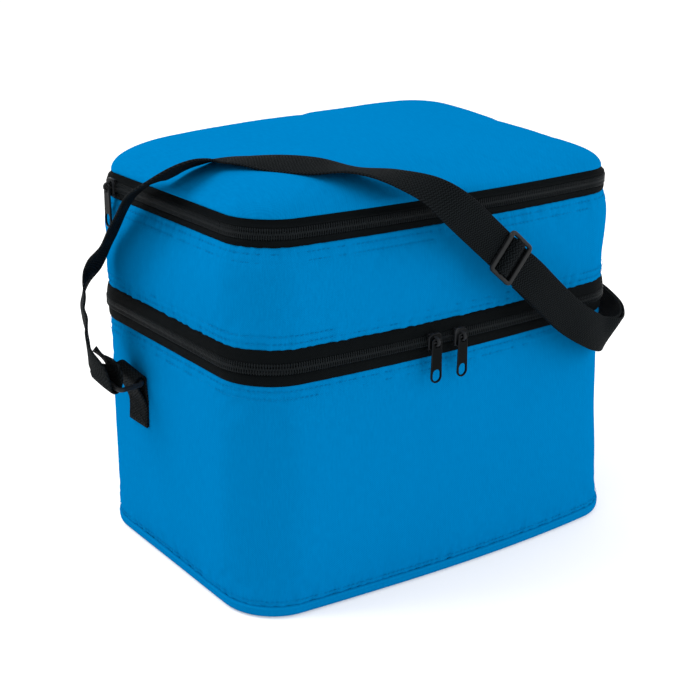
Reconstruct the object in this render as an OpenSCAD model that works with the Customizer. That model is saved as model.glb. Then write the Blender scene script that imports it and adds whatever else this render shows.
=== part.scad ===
// Insulated cooler bag: a tall lower compartment, a shallow upper compartment hinged on its back edge,
// and a domed lid hinged on the upper compartment. Two coil zips close them, and a webbing strap on two
// rings carries them. Units are millimetres. +Z is up, the front faces -Y, and the origin is the centre
// of the base on the floor.

/* [Bag] */
// Width across the side walls
bag_w = 284; // [278:1:290]
// Depth at the side walls
bag_d = 188; // [182:1:194]
// How far the front and the back swell out at mid width
bow = 8; // [4:0.5:9]
// Corner radius seen from above
corner_r = 32; // [26:1:36]
// Height of the lower zip's centre line
lower_zip_z = 153.5; // [145:0.5:158]
// Height of the upper zip's centre line
upper_zip_z = 227.5; // [222:0.5:232]
// Rise of the lid above its rim
lid_crown = 21; // [14:1:22]

/* [Walls] */
// Thickness of the woven fabric
fabric_t = 1; // [0.8:0.1:1.2]
// Thickness of the foam
foam_t = 5; // [4:0.5:6]
// Thickness of the lining
lining_t = 0.8; // [0.6:0.1:1]
// Height of the base fabric's turned-up edge
base_rim_h = 7; // [6:0.5:9]

/* [Zips] */
// Height from a zip's centre line to the fabric below or above it, on the lower zip
lower_tape_h = 10.5; // [10:0.5:12]
// The same on the upper zip
upper_tape_h = 7.5; // [7:0.5:9]
// Height of each half of a coil
coil_h = 2.5; // [2:0.1:3]
// How far the upper zip's tape is set in from the walls
upper_zip_inset = 4.5; // [4:0.5:5]
// Length of a slider along its zip
slider_len = 8.6; // [8:0.2:10]
// Length of a pull
pull_len = 25.6; // [22:0.2:28]
// Width of a pull at its round end
pull_w = 7.8; // [7:0.2:8.6]

/* [Strap] */
// Width of the webbing
web_w = 24; // [22:0.5:24]
// Thickness of the webbing
web_t = 1.4; // [1.2:0.1:1.6]
// Diameter of a ring's bars, and the thickness of the ring
ring_bar = 3.2; // [2.8:0.1:3.4]
// Height of a ring across its two long bars
ring_h = 20; // [18:0.5:22]
// Middle of the strap tabs, back from the bag's centre
tab_y = 31; // [26:1:34]

/* [Hidden] */
$fn = 32;

half_w = bag_w / 2;
half_d = bag_d / 2;
bow_r = (half_w * half_w + bow * bow) / (2 * bow);
corner_steps = 6;
bow_steps = 10;

tape_t = 1.8;
tape_proud = 0.8;
coil_t = 1.8;
coil_split = 1.6;
strip_gap = 0.3;
hinge_half_w = 95;
foam_in = fabric_t;
lining_in = foam_in + foam_t;
hollow_in = lining_in + lining_t;
board_z = 1;
foam_z = 2.6;
floor_z = foam_z + foam_t;
zip_clear = 5;
lower_tape_z = lower_zip_z - lower_tape_h;
upper_wall_z = lower_zip_z + lower_tape_h;
divider_z = lower_zip_z + zip_clear;
upper_floor_z = divider_z + lining_t + foam_t;
upper_tape_z = upper_zip_z - upper_tape_h;
lid_z = upper_zip_z + upper_tape_h;
shoulder_t = 1;

blue = [0.0, 0.50, 0.80];
black = [0.05, 0.05, 0.06];
foam_white = [0.9, 0.9, 0.88];
lining_grey = [0.72, 0.74, 0.76];
board_brown = [0.45, 0.36, 0.28];

// ---- Plan outline -------------------------------------------------------------------------------

// How far the front or the back stands out beyond the side walls' depth, at a distance x from the middle
function swell(x) =
    abs(x) >= half_w ? 0 : sqrt(bow_r * bow_r - x * x) - (bow_r - bow);

// One rounded corner of the plan: sx and sy choose the quadrant, and a runs from a0 to a0 + 90
function corner(sx, sy, inset, a0) = [
    for (k = [0 : corner_steps])
        let (
            a = a0 + 90 * k / corner_steps,
            x = sx * (half_w - corner_r) + (corner_r - inset) * cos(a),
            y = sy * (half_d - corner_r) + (corner_r - inset) * sin(a)
        )
        [x, y + sy * swell(x)]
];

// The swelling front (sy = -1) or back (sy = 1) between its two corners
function bowed_side(sy, inset) = [
    for (k = [1 : bow_steps - 1])
        let (x = -sy * (2 * k / bow_steps - 1) * (half_w - corner_r))
        [x, sy * (half_d - inset + swell(x))]
];

// The bag's plan outline, drawn in by a distance
function outline(inset) = concat(
    corner(1, 1, inset, 0),
    bowed_side(1, inset),
    corner(-1, 1, inset, 90),
    corner(-1, -1, inset, 180),
    bowed_side(-1, inset),
    corner(1, -1, inset, 270)
);

module slab(z0, z1, inset) {
    translate([0, 0, z0])
        linear_extrude(z1 - z0)
            polygon(outline(inset));
}

module ring_wall(z0, z1, outer, inner) {
    translate([0, 0, z0])
        linear_extrude(z1 - z0)
            difference() {
                polygon(outline(outer));
                polygon(outline(inner));
            }
}

// The middle of the back, where a hinge strip takes the zip's place
module back_middle(z0, z1, grow) {
    translate([-hinge_half_w - grow, 0, z0])
        cube([2 * (hinge_half_w + grow), bag_d, z1 - z0]);
}

// ---- Base and lower compartment -----------------------------------------------------------------

edge_roll = [2.4, 0.9];
roll_z = [1.2, foam_z];

module base_fabric() {
    color(blue)
        difference() {
            union() {
                slab(0, roll_z[0], edge_roll[0]);
                slab(roll_z[0], roll_z[1], edge_roll[1]);
                slab(roll_z[1], base_rim_h, 0);
            }
            slab(board_z, foam_z, edge_roll[0] + fabric_t);
            slab(foam_z, base_rim_h + 1, foam_in);
        }
}

module base_board() {
    color(board_brown)
        slab(board_z, foam_z, edge_roll[0] + fabric_t);
}

module base_foam() {
    color(foam_white)
        slab(foam_z, floor_z, lining_in);
}

module lower_wall_fabric() {
    color(blue)
        ring_wall(base_rim_h, lower_tape_z, 0, fabric_t);
}

module lower_wall_foam() {
    color(foam_white)
        ring_wall(foam_z, lower_zip_z - zip_clear, foam_in, lining_in);
}

module lower_lining() {
    color(lining_grey) {
        slab(floor_z, floor_z + lining_t, lining_in);
        ring_wall(floor_z + lining_t, lower_zip_z - zip_clear, lining_in, hollow_in);
    }
}

// ---- Zips ---------------------------------------------------------------------------------------

// One tape of a zip: a band round the front, the sides and the rear corners. face is the inset of the
// tape's outer surface.
module zip_tape(z0, z1, face) {
    color(black)
        difference() {
            ring_wall(z0, z1, face, face + tape_t);
            back_middle(z0 - 1, z1 + 1, 0);
        }
}

// One half of a zip's coil, sewn on its tape's outer surface
module zip_coil(z0, face) {
    color(black)
        difference() {
            ring_wall(z0, z0 + coil_h, face - coil_t, face);
            back_middle(z0 - 1, z0 + coil_h + 1, 0);
        }
}

// The strip of fabric across the back that a compartment or the lid tips back on
module hinge_strip(z0, z1, face) {
    color(black)
        intersection() {
            ring_wall(z0 + strip_gap, z1 - strip_gap, face, face + tape_t - strip_gap);
            back_middle(z0, z1, -strip_gap);
        }
}

module lower_zip_tape_below() {
    zip_tape(lower_tape_z, lower_zip_z - coil_split / 2, -tape_proud);
}

module lower_zip_coil_below() {
    zip_coil(lower_zip_z - coil_split / 2 - coil_h, -tape_proud);
}

module lower_zip_tape_above() {
    zip_tape(lower_zip_z + coil_split / 2, upper_wall_z, -tape_proud);
}

module lower_zip_coil_above() {
    zip_coil(lower_zip_z + coil_split / 2, -tape_proud);
}

module lower_hinge_strip() {
    hinge_strip(lower_tape_z, upper_wall_z, -tape_proud);
}

module upper_zip_tape_below() {
    zip_tape(upper_tape_z, upper_zip_z - coil_split / 2, upper_zip_inset);
}

module upper_zip_coil_below() {
    zip_coil(upper_zip_z - coil_split / 2 - coil_h, upper_zip_inset);
}

module upper_zip_tape_above() {
    zip_tape(upper_zip_z + coil_split / 2, lid_z, upper_zip_inset);
}

module upper_zip_coil_above() {
    zip_coil(upper_zip_z + coil_split / 2, upper_zip_inset);
}

module upper_hinge_strip() {
    hinge_strip(upper_tape_z, lid_z, upper_zip_inset);
}

// ---- Upper compartment --------------------------------------------------------------------------

module upper_wall_fabric() {
    color(blue) {
        ring_wall(upper_wall_z, upper_tape_z - shoulder_t, 0, fabric_t);
        ring_wall(upper_tape_z - shoulder_t, upper_tape_z, 0, upper_zip_inset + tape_t);
    }
}

module upper_wall_foam() {
    color(foam_white)
        ring_wall(divider_z, upper_tape_z - shoulder_t, foam_in, lining_in);
}

module divider_cover() {
    color(lining_grey)
        slab(divider_z, divider_z + lining_t, lining_in);
}

module divider_foam() {
    color(foam_white)
        slab(divider_z + lining_t, upper_floor_z, lining_in);
}

module upper_lining() {
    color(lining_grey) {
        slab(upper_floor_z, upper_floor_z + lining_t, lining_in);
        ring_wall(upper_floor_z + lining_t, upper_tape_z - shoulder_t, lining_in, hollow_in);
    }
}

// ---- Lid ----------------------------------------------------------------------------------------

// The lid's rings, from the rim (1) to the middle (0), as shares of the outline
dome_rings = [1, 0.985, 0.96, 0.92, 0.86, 0.76, 0.6, 0.4, 0.2];
shoulder_share = 0.42;

// Height of the dome at a ring, as a share of its crown: a quick shoulder, then a low arch
function dome(t) = shoulder_share * sqrt(1 - pow(t, 10)) + (1 - shoulder_share) * (1 - t * t);

// The points of one dome surface, ring by ring, with the middle point last. depth is how far the
// surface lies below the lid's outer surface at the crown.
function dome_points(inset, depth) = concat(
    [
        for (t = dome_rings)
            for (p = outline(inset))
                [p[0] * t, p[1] * t, lid_z + dome(t) * (lid_crown - depth)]
    ],
    [[0, 0, lid_z + lid_crown - depth]]
);

// The shell between two domes that share a rim height
module dome_shell(inset0, depth0, inset1, depth1) {
    outer = dome_points(inset0, depth0);
    inner = dome_points(inset1, depth1);
    n = len(outline(0));
    last = len(dome_rings) - 1;
    total = len(outer);
    skin = [
        for (r = [0 : last - 1])
            for (k = [0 : n - 1])
                [r * n + k, r * n + (k + 1) % n, (r + 1) * n + (k + 1) % n, (r + 1) * n + k]
    ];
    cap = [
        for (k = [0 : n - 1])
            [last * n + k, last * n + (k + 1) % n, total - 1]
    ];
    top = concat(skin, cap);
    rim = [
        for (k = [0 : n - 1])
            [(k + 1) % n, k, total + k, total + (k + 1) % n]
    ];
    under = [
        for (face = top)
            [for (k = [len(face) - 1 : -1 : 0]) face[k] + total]
    ];
    polyhedron(
        points = concat(outer, inner),
        faces = [for (face = concat(top, rim, under)) [for (k = [len(face) - 1 : -1 : 0]) face[k]]],
        convexity = 4
    );
}

module lid_fabric() {
    color(blue)
        dome_shell(upper_zip_inset, 0, upper_zip_inset + fabric_t, fabric_t);
}

module lid_foam() {
    color(foam_white)
        dome_shell(upper_zip_inset + fabric_t, fabric_t, upper_zip_inset + lining_in, lining_in);
}

module lid_lining() {
    color(lining_grey)
        dome_shell(upper_zip_inset + lining_in, lining_in, upper_zip_inset + hollow_in, hollow_in);
}

// ---- Sliders and pulls --------------------------------------------------------------------------

// A slider's own frame: the origin is on the coil's outer surface, -Y points out of the bag and X runs
// along the zip.
plate_clear = 1.2;
plate_t = 1.6;
back_plate_t = 1.2;
back_clear = 0.3;
front_plate_h = 10.8;
back_plate_h = 8.2;
post_h = 0.9;
post_len = 3.2;
crown_w = 2.4;
crown_r = 2.5;
crown_hole_r = 1.25;
pin_r = 0.8;
pin_z = 0.6;
pin_out = plate_clear + plate_t + 1.6;

module slider() {
    back_y = coil_t + tape_t + back_clear;
    color(black) {
        translate([-slider_len / 2, -plate_clear - plate_t, -front_plate_h / 2])
            cube([slider_len, plate_t, front_plate_h]);
        translate([-slider_len / 2, back_y, -back_plate_h / 2])
            cube([slider_len, back_plate_t, back_plate_h]);
        translate([-post_len / 2, -plate_clear - plate_t / 2, -post_h / 2])
            cube([post_len, back_y + plate_clear + plate_t / 2 + back_plate_t / 2, post_h]);
        difference() {
            translate([-crown_w / 2, -pin_out, pin_z])
                rotate([0, 90, 0])
                    cylinder(r = crown_r, h = crown_w);
            translate([-crown_w, -pin_out, pin_z])
                rotate([0, 90, 0])
                    cylinder(r = crown_hole_r, h = 2 * crown_w);
            translate([-crown_w, -plate_clear - plate_t / 2, pin_z - crown_r])
                cube([2 * crown_w, crown_r, 2 * crown_r]);
        }
    }
}

pull_t = 1.3;
pull_top_w = 6.6;
window_w = 3.2;
window_end = 3.2;
eye_r = 2.7;
eye_len = 1.8;

// A pull hangs down from its pin, which lies along X through the origin
module pull() {
    end_z = -(pull_len - pin_r - pull_w / 2);
    color(black) {
        translate([-window_w / 2 - 1, 0, 0])
            rotate([0, 90, 0])
                cylinder(r = pin_r, h = window_w + 2);
        translate([0, pull_t / 2, 0])
            rotate([90, 0, 0])
                linear_extrude(pull_t)
                    difference() {
                        union() {
                            polygon([
                                [-pull_top_w / 2, pin_r], [pull_top_w / 2, pin_r],
                                [pull_w / 2, end_z], [-pull_w / 2, end_z]
                            ]);
                            translate([0, end_z])
                                circle(d = pull_w);
                        }
                        translate([-window_w / 2, -window_end])
                            square([window_w, window_end + pin_r + 1]);
                        translate([0, end_z - eye_len / 2 + 1])
                            circle(r = eye_r);
                        translate([0, end_z + eye_len / 2 + 1])
                            circle(r = eye_r);
                        translate([-eye_r, end_z - eye_len / 2 + 1])
                            square([2 * eye_r, eye_len]);
                    }
    }
}

// Places of the sliders. The front ones stand at x on the swelling front, turned to the line that they
// run along; the upper one stands on the left wall near the rear corner.
left_x = -24.6;
left_run_x = -94;
right_x = -5.6;
right_run_x = 84;
upper_slider_y = 60.5;

function front_coil_y(x) = -(half_d + tape_proud + coil_t + swell(x));
// Turn of the straight line between two places on the front coil
function run_turn(x0, x1) = atan((front_coil_y(x1) - front_coil_y(x0)) / (x1 - x0));

module on_front(x, run_x) {
    translate([x, front_coil_y(x), lower_zip_z])
        rotate([0, 0, run_turn(x, run_x)])
            children();
}

module on_left_wall(y) {
    translate([-(half_w - upper_zip_inset + coil_t), y, upper_zip_z])
        rotate([0, 0, -90])
            children();
}

module lower_slider_left() {
    on_front(left_x, left_run_x)
        slider();
}

module lower_pull_left() {
    on_front(left_x, left_run_x)
        translate([0, -pin_out, pin_z])
            pull();
}

module lower_slider_right() {
    on_front(right_x, right_run_x)
        slider();
}

module lower_pull_right() {
    on_front(right_x, right_run_x)
        translate([0, -pin_out, pin_z])
            pull();
}

module upper_slider() {
    on_left_wall(upper_slider_y)
        slider();
}

module upper_pull() {
    on_left_wall(upper_slider_y)
        translate([0, -pin_out, pin_z])
            pull();
}

// ---- Webbing ------------------------------------------------------------------------------------

function unit(v) = v / norm(v);

// A station of webbing is its centre and its width direction. The ribbon's cross-section is square to
// the way that the webbing runs.
function along(stations, k) = unit(
    stations[min(k + 1, len(stations) - 1)][0] - stations[max(k - 1, 0)][0]
);
function across(stations, k) = unit(
    stations[k][1] - (stations[k][1] * along(stations, k)) * along(stations, k)
);
function face_normal(stations, k) = cross(along(stations, k), across(stations, k));

// Both faces of a twisted stretch are split along the same diagonal, so that they never cross
module ribbon(stations, width, thickness) {
    n = len(stations);
    points = [
        for (k = [0 : n - 1])
            for (s = [[-1, -1], [1, -1], [1, 1], [-1, 1]])
                stations[k][0]
                    + across(stations, k) * s[0] * width / 2
                    + face_normal(stations, k) * s[1] * thickness / 2
    ];
    sides = [
        for (k = [0 : n - 2])
            for (tri = [
                [0, 5, 1], [0, 4, 5],
                [1, 6, 2], [1, 5, 6],
                [3, 2, 6], [3, 6, 7],
                [3, 4, 0], [3, 7, 4]
            ])
                [4 * k + tri[0], 4 * k + tri[1], 4 * k + tri[2]]
    ];
    ends = [[0, 1, 2, 3], [4 * n - 1, 4 * n - 2, 4 * n - 3, 4 * n - 4]];
    polyhedron(points = points, faces = concat(sides, ends), convexity = 10);
}

// The left ring lies in the plane of its bars' direction and its reach away from the wall
ring_bar_dir = unit([-0.1, 0.97, 0.2]);
ring_reach_dir = unit(cross(cross(ring_bar_dir, [-1, 0, 0]), ring_bar_dir));
ring_normal = cross(ring_bar_dir, ring_reach_dir);
ring_window_w = web_w + 1.2;
tab_bar_out = 7;
tab_bar_z = 119;
tab_bar = [-half_w - tab_bar_out, tab_y, tab_bar_z];
strap_bar = tab_bar + ring_reach_dir * (ring_h - ring_bar);
ring_corner_r = 3;
wrap_gap = 0.5;
wrap_r = ring_bar * sqrt(2) / 2 + wrap_gap + web_t / 2;

// Stations of webbing wrapped round one of the left ring's bars. Angles run from the reach direction
// (0) towards the ring's normal (90).
function wrap(bar, angles) = [
    for (a = angles)
        [bar + (ring_reach_dir * cos(a) + ring_normal * sin(a)) * wrap_r, ring_bar_dir]
];

// The same on the right side: the left ring turned half round
function to_right(stations) = [
    for (s = stations)
        [[-s[0][0], 2 * tab_y - s[0][1], s[0][2]], [-s[1][0], -s[1][1], s[1][2]]]
];

module right_side() {
    translate([0, 2 * tab_y, 0])
        rotate([0, 0, 180])
            children();
}

function rounded_rect(w, h, r) = [
    for (q = [[1, 1, 0], [-1, 1, 90], [-1, -1, 180], [1, -1, 270]])
        for (a = [0 : 22.5 : 90])
            [q[0] * (w / 2 - r) + r * cos(q[2] + a), q[1] * (h / 2 - r) + r * sin(q[2] + a)]
];

module ring() {
    middle = (tab_bar + strap_bar) / 2;
    color(black)
        multmatrix([
            [ring_bar_dir[0], ring_reach_dir[0], ring_normal[0], middle[0]],
            [ring_bar_dir[1], ring_reach_dir[1], ring_normal[1], middle[1]],
            [ring_bar_dir[2], ring_reach_dir[2], ring_normal[2], middle[2]],
            [0, 0, 0, 1]
        ])
            translate([0, 0, -ring_bar / 2])
                linear_extrude(ring_bar)
                    difference() {
                        polygon(rounded_rect(ring_window_w + 2 * ring_bar, ring_h, ring_corner_r));
                        polygon(rounded_rect(ring_window_w, ring_h - 2 * ring_bar, 1));
                    }
}

// A tab is webbing doubled on the wall and looped through the ring
wall_gap = 0.3;
tab_foot_z = 82;
tab_neck_z = 107;
neck_turn = 6;
neck_out = 1.2;
inner_layer_x = -half_w - wall_gap - web_t / 2;
outer_layer_x = inner_layer_x - web_t - wall_gap;
level = [0, 1, 0];
tab_stations = concat(
    [
        [[inner_layer_x, tab_y, tab_foot_z], level],
        [[inner_layer_x, tab_y, tab_neck_z - neck_turn], level],
        [[inner_layer_x - neck_out, tab_y, tab_neck_z], unit(level * 2 + ring_bar_dir)]
    ],
    wrap(tab_bar, [170 : -25 : -30]),
    [
        [[outer_layer_x - 2 * neck_out, tab_y, tab_neck_z], unit(level * 2 + ring_bar_dir)],
        [[outer_layer_x, tab_y, tab_neck_z - neck_turn], level],
        [[outer_layer_x, tab_y, tab_foot_z], level]
    ]
);

module strap_tab() {
    color(black)
        ribbon(tab_stations, web_w, web_t);
}

// The shoulder strap's route from the left ring up over the lid, down across the front to its slide, and
// round the right corner: centre, then width direction
strap_route = [
    [[-171, 29, 126], [-1, 9, 2]],
    [[-173, 34, 133], [2, 8, -2]],
    [[-171, 41, 141], [4, 7, -5]],
    [[-168, 47, 148], [3, 7, -6]],
    [[-167, 53, 154], [3, 7, -6]],
    [[-165, 57, 162], [3, 9, -4]],
    [[-162, 59, 170], [5, 8, -2]],
    [[-158, 57, 179], [8, 6, -1]],
    [[-156, 51, 190], [9, 5, 1]],
    [[-154, 38, 204], [8, 5, 3]],
    [[-153, 30, 215], [8, 6, 2]],
    [[-152, 21, 225], [8, 6, 2]],
    [[-150, 12, 234], [8, 5, 1]],
    [[-146, -6, 244], [8, 5, -1]],
    [[-136, -12, 250], [5, 8, -4]],
    [[-123, -14, 253], [4, 8, -3]],
    [[-112, -19, 254], [8, 6, -1]],
    [[-104, -31, 255], [9, 5, 0]],
    [[-94, -47, 255], [8, 6, 2]],
    [[-81, -66, 255], [8, 6, 2]],
    [[-66, -83, 254], [8, 6, -1]],
    [[-50, -99, 251], [9, 5, 1]],
    [[-37, -113, 245], [9, 3, 3]],
    [[-23, -119, 234], [8, 1, 5]],
    [[-9, -121, 221], [7, 0, 8]]
];
// Where the slide is, the way that the strap runs through it, and its width direction there
slide_at = [18, -121, 200];
slide_run = unit([33, 0, -28]);
slide_across = unit([28, 0, 33]);
strap_route_right = [
    [[55, -120, 168], [7, 0, 8]],
    [[74, -118, 153], [6, 0, 8]],
    [[94, -116, 141], [5, 1, 9]],
    [[109, -112, 134], [5, 1, 9]],
    [[123, -107, 132], [5, -2, 8]],
    [[137, -95, 134], [3, -3, 8]],
    [[149, -77, 136], [1, -2, 9]],
    [[157, -54, 138], [1, -3, 9]],
    [[163, -34, 139], [1, -2, 9]],
    [[167, -13, 142], [0, 1, 9]],
    [[169, 7, 142], [0, 4, 8]],
    [[170, 21, 139], [0, 6, 6]],
    [[169, 31, 130], [-1, 9, -1]]
];

slide_bar = 3;
slide_side_bar = 2;
slide_t = 2.4;
slide_len = 22;
slide_gap = (slide_len - 3 * slide_bar) / 2;
slide_window_w = web_w + 1;
weave = slide_t / 2 + wrap_gap + web_t / 2;

// Stations where the strap passes under the slide's first bar, over its middle bar and under its last
function slide_station(s, out) = [slide_at + slide_run * s + [0, -1, 0] * out, slide_across];
bar_pitch = slide_gap + slide_bar;
// How far the webbing stays level to each side of an end bar and of the middle bar
end_bar_reach = 1.6;
middle_bar_reach = 1.8;
// How far beyond the end bars the webbing has risen to its own line, and how far out that is
slide_lead = 8;
lead_out = -0.6;
through_slide = [
    slide_station(-bar_pitch - slide_lead, lead_out),
    slide_station(-bar_pitch - end_bar_reach, -weave),
    slide_station(-bar_pitch + end_bar_reach, -weave),
    slide_station(-middle_bar_reach, weave),
    slide_station(middle_bar_reach, weave),
    slide_station(bar_pitch - end_bar_reach, -weave),
    slide_station(bar_pitch + end_bar_reach, -weave),
    slide_station(bar_pitch + slide_lead, lead_out)
];

// The strap's left end is turned back through its ring; on the right it goes through the ring and comes
// back under itself to the slide's middle bar
turned_end = [
    [[-169.2, 36.4, 137.5], [3, 7.5, -4]],
    [[-166, 33, 133], [2, 8, -1.5]],
    [[-162.5, 28.5, 127.5], [-1, 9, 2]]
];
return_gap = 2.4;
right_run = concat([slide_station(bar_pitch + slide_lead, lead_out)], strap_route_right);
return_run = [
    for (k = [len(right_run) - 1 : -1 : 0])
        [right_run[k][0] - face_normal(right_run, k) * return_gap, right_run[k][1]]
];
strap_stations = concat(
    turned_end,
    wrap(strap_bar, [180 : 30 : 360]),
    strap_route,
    through_slide,
    strap_route_right,
    to_right(wrap(strap_bar, [0 : -30 : -180])),
    return_run
);

module shoulder_strap() {
    color(black)
        ribbon(strap_stations, web_w, web_t);
}

module strap_slide() {
    out = [0, -1, 0];
    color(black)
        multmatrix([
            [slide_run[0], slide_across[0], out[0], slide_at[0]],
            [slide_run[1], slide_across[1], out[1], slide_at[1]],
            [slide_run[2], slide_across[2], out[2], slide_at[2]],
            [0, 0, 0, 1]
        ])
            translate([0, 0, -slide_t / 2])
                linear_extrude(slide_t)
                    difference() {
                        polygon(rounded_rect(slide_len, slide_window_w + 2 * slide_side_bar, 3));
                        for (s = [-1, 1])
                            translate([s * (slide_gap + slide_bar) / 2, 0])
                                square([slide_gap, slide_window_w], center = true);
                    }
}

// ---- Assembly -----------------------------------------------------------------------------------

base_fabric();
base_board();
base_foam();
lower_wall_fabric();
lower_wall_foam();
lower_lining();
lower_zip_tape_below();
lower_zip_coil_below();
lower_hinge_strip();
strap_tab();  // strap_tab_left
right_side() strap_tab();  // strap_tab_right
ring();  // strap_ring_left
right_side() ring();  // strap_ring_right
lower_zip_tape_above();
lower_zip_coil_above();
divider_cover();
divider_foam();
upper_wall_fabric();
upper_wall_foam();
upper_lining();
upper_zip_tape_below();
upper_zip_coil_below();
upper_hinge_strip();
upper_zip_tape_above();
upper_zip_coil_above();
lid_fabric();
lid_foam();
lid_lining();
lower_slider_left();
lower_pull_left();
lower_slider_right();
lower_pull_right();
upper_slider();
upper_pull();
shoulder_strap();
strap_slide();
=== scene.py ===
"""The looks of the insulated cooler bag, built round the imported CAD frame.

Shapes are worked out in millimetres, in the frame of the CAD model: +Z is up, the front faces -Y and the
origin is the centre of the base. They become metres when a mesh is made.
"""
import math
from collections import namedtuple

import bpy
import numpy as np
from mathutils import Matrix, Vector, noise


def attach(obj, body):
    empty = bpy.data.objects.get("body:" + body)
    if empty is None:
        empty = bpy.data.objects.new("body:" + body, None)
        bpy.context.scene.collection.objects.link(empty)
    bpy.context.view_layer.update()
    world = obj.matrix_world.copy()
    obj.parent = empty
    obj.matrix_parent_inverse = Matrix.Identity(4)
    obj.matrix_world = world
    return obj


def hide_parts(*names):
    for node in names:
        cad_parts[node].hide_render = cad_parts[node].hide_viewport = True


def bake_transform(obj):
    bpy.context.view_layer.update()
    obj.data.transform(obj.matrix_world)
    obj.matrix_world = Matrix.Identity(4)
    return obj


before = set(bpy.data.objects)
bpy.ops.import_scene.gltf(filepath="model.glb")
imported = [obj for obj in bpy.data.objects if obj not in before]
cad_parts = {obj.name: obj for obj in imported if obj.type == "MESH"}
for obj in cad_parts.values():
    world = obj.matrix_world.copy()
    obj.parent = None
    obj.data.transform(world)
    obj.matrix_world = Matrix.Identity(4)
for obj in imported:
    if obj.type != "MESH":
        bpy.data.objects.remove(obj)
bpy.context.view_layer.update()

MM = 0.001

# ---- Sizes, as the CAD model has them -----------------------------------------------------------
HALF_W = 142.0
HALF_D = 94.0
BOW = 8.0
CORNER_R = 32.0
BOW_R = (HALF_W**2 + BOW**2) / (2 * BOW)
HINGE_HALF_W = 95.0

BASE_RIM_Z = 7.0
LOWER_ZIP_Z = 153.5
LOWER_TAPE_H = 10.5
LOWER_TAPE_Z = LOWER_ZIP_Z - LOWER_TAPE_H
UPPER_WALL_Z = LOWER_ZIP_Z + LOWER_TAPE_H
UPPER_ZIP_Z = 227.5
UPPER_TAPE_H = 7.5
UPPER_TAPE_Z = UPPER_ZIP_Z - UPPER_TAPE_H
LID_Z = UPPER_ZIP_Z + UPPER_TAPE_H
UPPER_ZIP_INSET = 4.5
TAPE_PROUD = 0.8
COIL_T = 1.8

FABRIC_T = 1.0
FOAM_T = 5.0
LINING_T = 0.8
FOAM_Z = 2.6
FLOOR_Z = FOAM_Z + FOAM_T
FOAM_IN = FABRIC_T
LINING_IN = FOAM_IN + FOAM_T
RIM_Z = LOWER_ZIP_Z - 5
DIVIDER_Z = LOWER_ZIP_Z + 5
UPPER_FLOOR_Z = DIVIDER_Z + LINING_T + FOAM_T

WEB_W = 24.0
WOVEN_W = 22.6
WEB_T = 1.4
RING_BAR = 3.2
RING_H = 20.0
TAB_Y = 31.0


# ---- Camera, light and floor --------------------------------------------------------------------
def aim(obj, target):
    obj.rotation_mode = "QUATERNION"
    obj.rotation_quaternion = (Vector(target) - obj.location).to_track_quat("-Z", "Y")


def make_camera(azimuth, elevation, roll, distance, target, lens):
    """A camera that looks at target, from an azimuth seen from the front and an elevation, in degrees."""
    a, e = math.radians(azimuth), math.radians(elevation)
    back = Vector((math.sin(a) * math.cos(e), -math.cos(a) * math.cos(e), math.sin(e)))
    camera = bpy.data.objects.new("camera", bpy.data.cameras.new("camera"))
    camera.data.lens = lens
    camera.data.sensor_width = 36.0
    camera.data.clip_start = 0.05
    camera.data.clip_end = 20.0
    camera.location = Vector(target) + back * distance
    aim(camera, target)
    turn = Matrix.Rotation(math.radians(roll), 3, "Z").to_quaternion()
    camera.rotation_quaternion = camera.rotation_quaternion @ turn
    bpy.context.scene.collection.objects.link(camera)
    bpy.context.scene.camera = camera


def area_light(name, place, target, size, power):
    light = bpy.data.lights.new(name, "AREA")
    light.shape = "RECTANGLE"
    light.size, light.size_y = size
    light.energy = power
    obj = bpy.data.objects.new(name, light)
    obj.location = place
    aim(obj, target)
    bpy.context.scene.collection.objects.link(obj)


def make_world(strength):
    world = bpy.data.worlds.new("studio")
    world.use_nodes = True
    background = world.node_tree.nodes["Background"]
    background.inputs["Color"].default_value = (1.0, 1.0, 1.0, 1.0)
    background.inputs["Strength"].default_value = strength
    bpy.context.scene.world = world


def make_floor(half):
    mesh = bpy.data.meshes.new("floor")
    z = -0.0002
    corners = [(-half, -half, z), (half, -half, z), (half, half, z), (-half, half, z)]
    mesh.from_pydata(corners, [], [(0, 1, 2, 3)])
    floor = bpy.data.objects.new("floor", mesh)
    bpy.context.scene.collection.objects.link(floor)
    material = bpy.data.materials.new("pale_floor")
    material.use_nodes = True
    shader = material.node_tree.nodes["Principled BSDF"]
    shader.inputs["Base Color"].default_value = (0.72, 0.72, 0.72, 1.0)
    shader.inputs["Roughness"].default_value = 0.9
    shader.inputs["Specular IOR Level"].default_value = 0.1
    shader.inputs["Emission Color"].default_value = (1.0, 1.0, 1.0, 1.0)
    shader.inputs["Emission Strength"].default_value = 0.30
    mesh.materials.append(material)


make_camera(
    azimuth=-36.473,
    elevation=19.394,
    roll=0.544,
    distance=0.88042,
    target=(-0.00403, 0.00298, 0.11297),
    lens=69.34,
)
make_world(strength=1.05)
make_floor(half=6.0)
LIT_PLACE = (0.0, 0.0, 0.1)
area_light("key", (-1.20, 0.87, 1.75), LIT_PLACE, size=(1.2, 1.2), power=34.0)
area_light("fill", (1.25, -1.80, 0.98), LIT_PLACE, size=(2.6, 2.2), power=31.0)
bpy.context.scene.view_settings.view_transform = "Standard"


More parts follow.
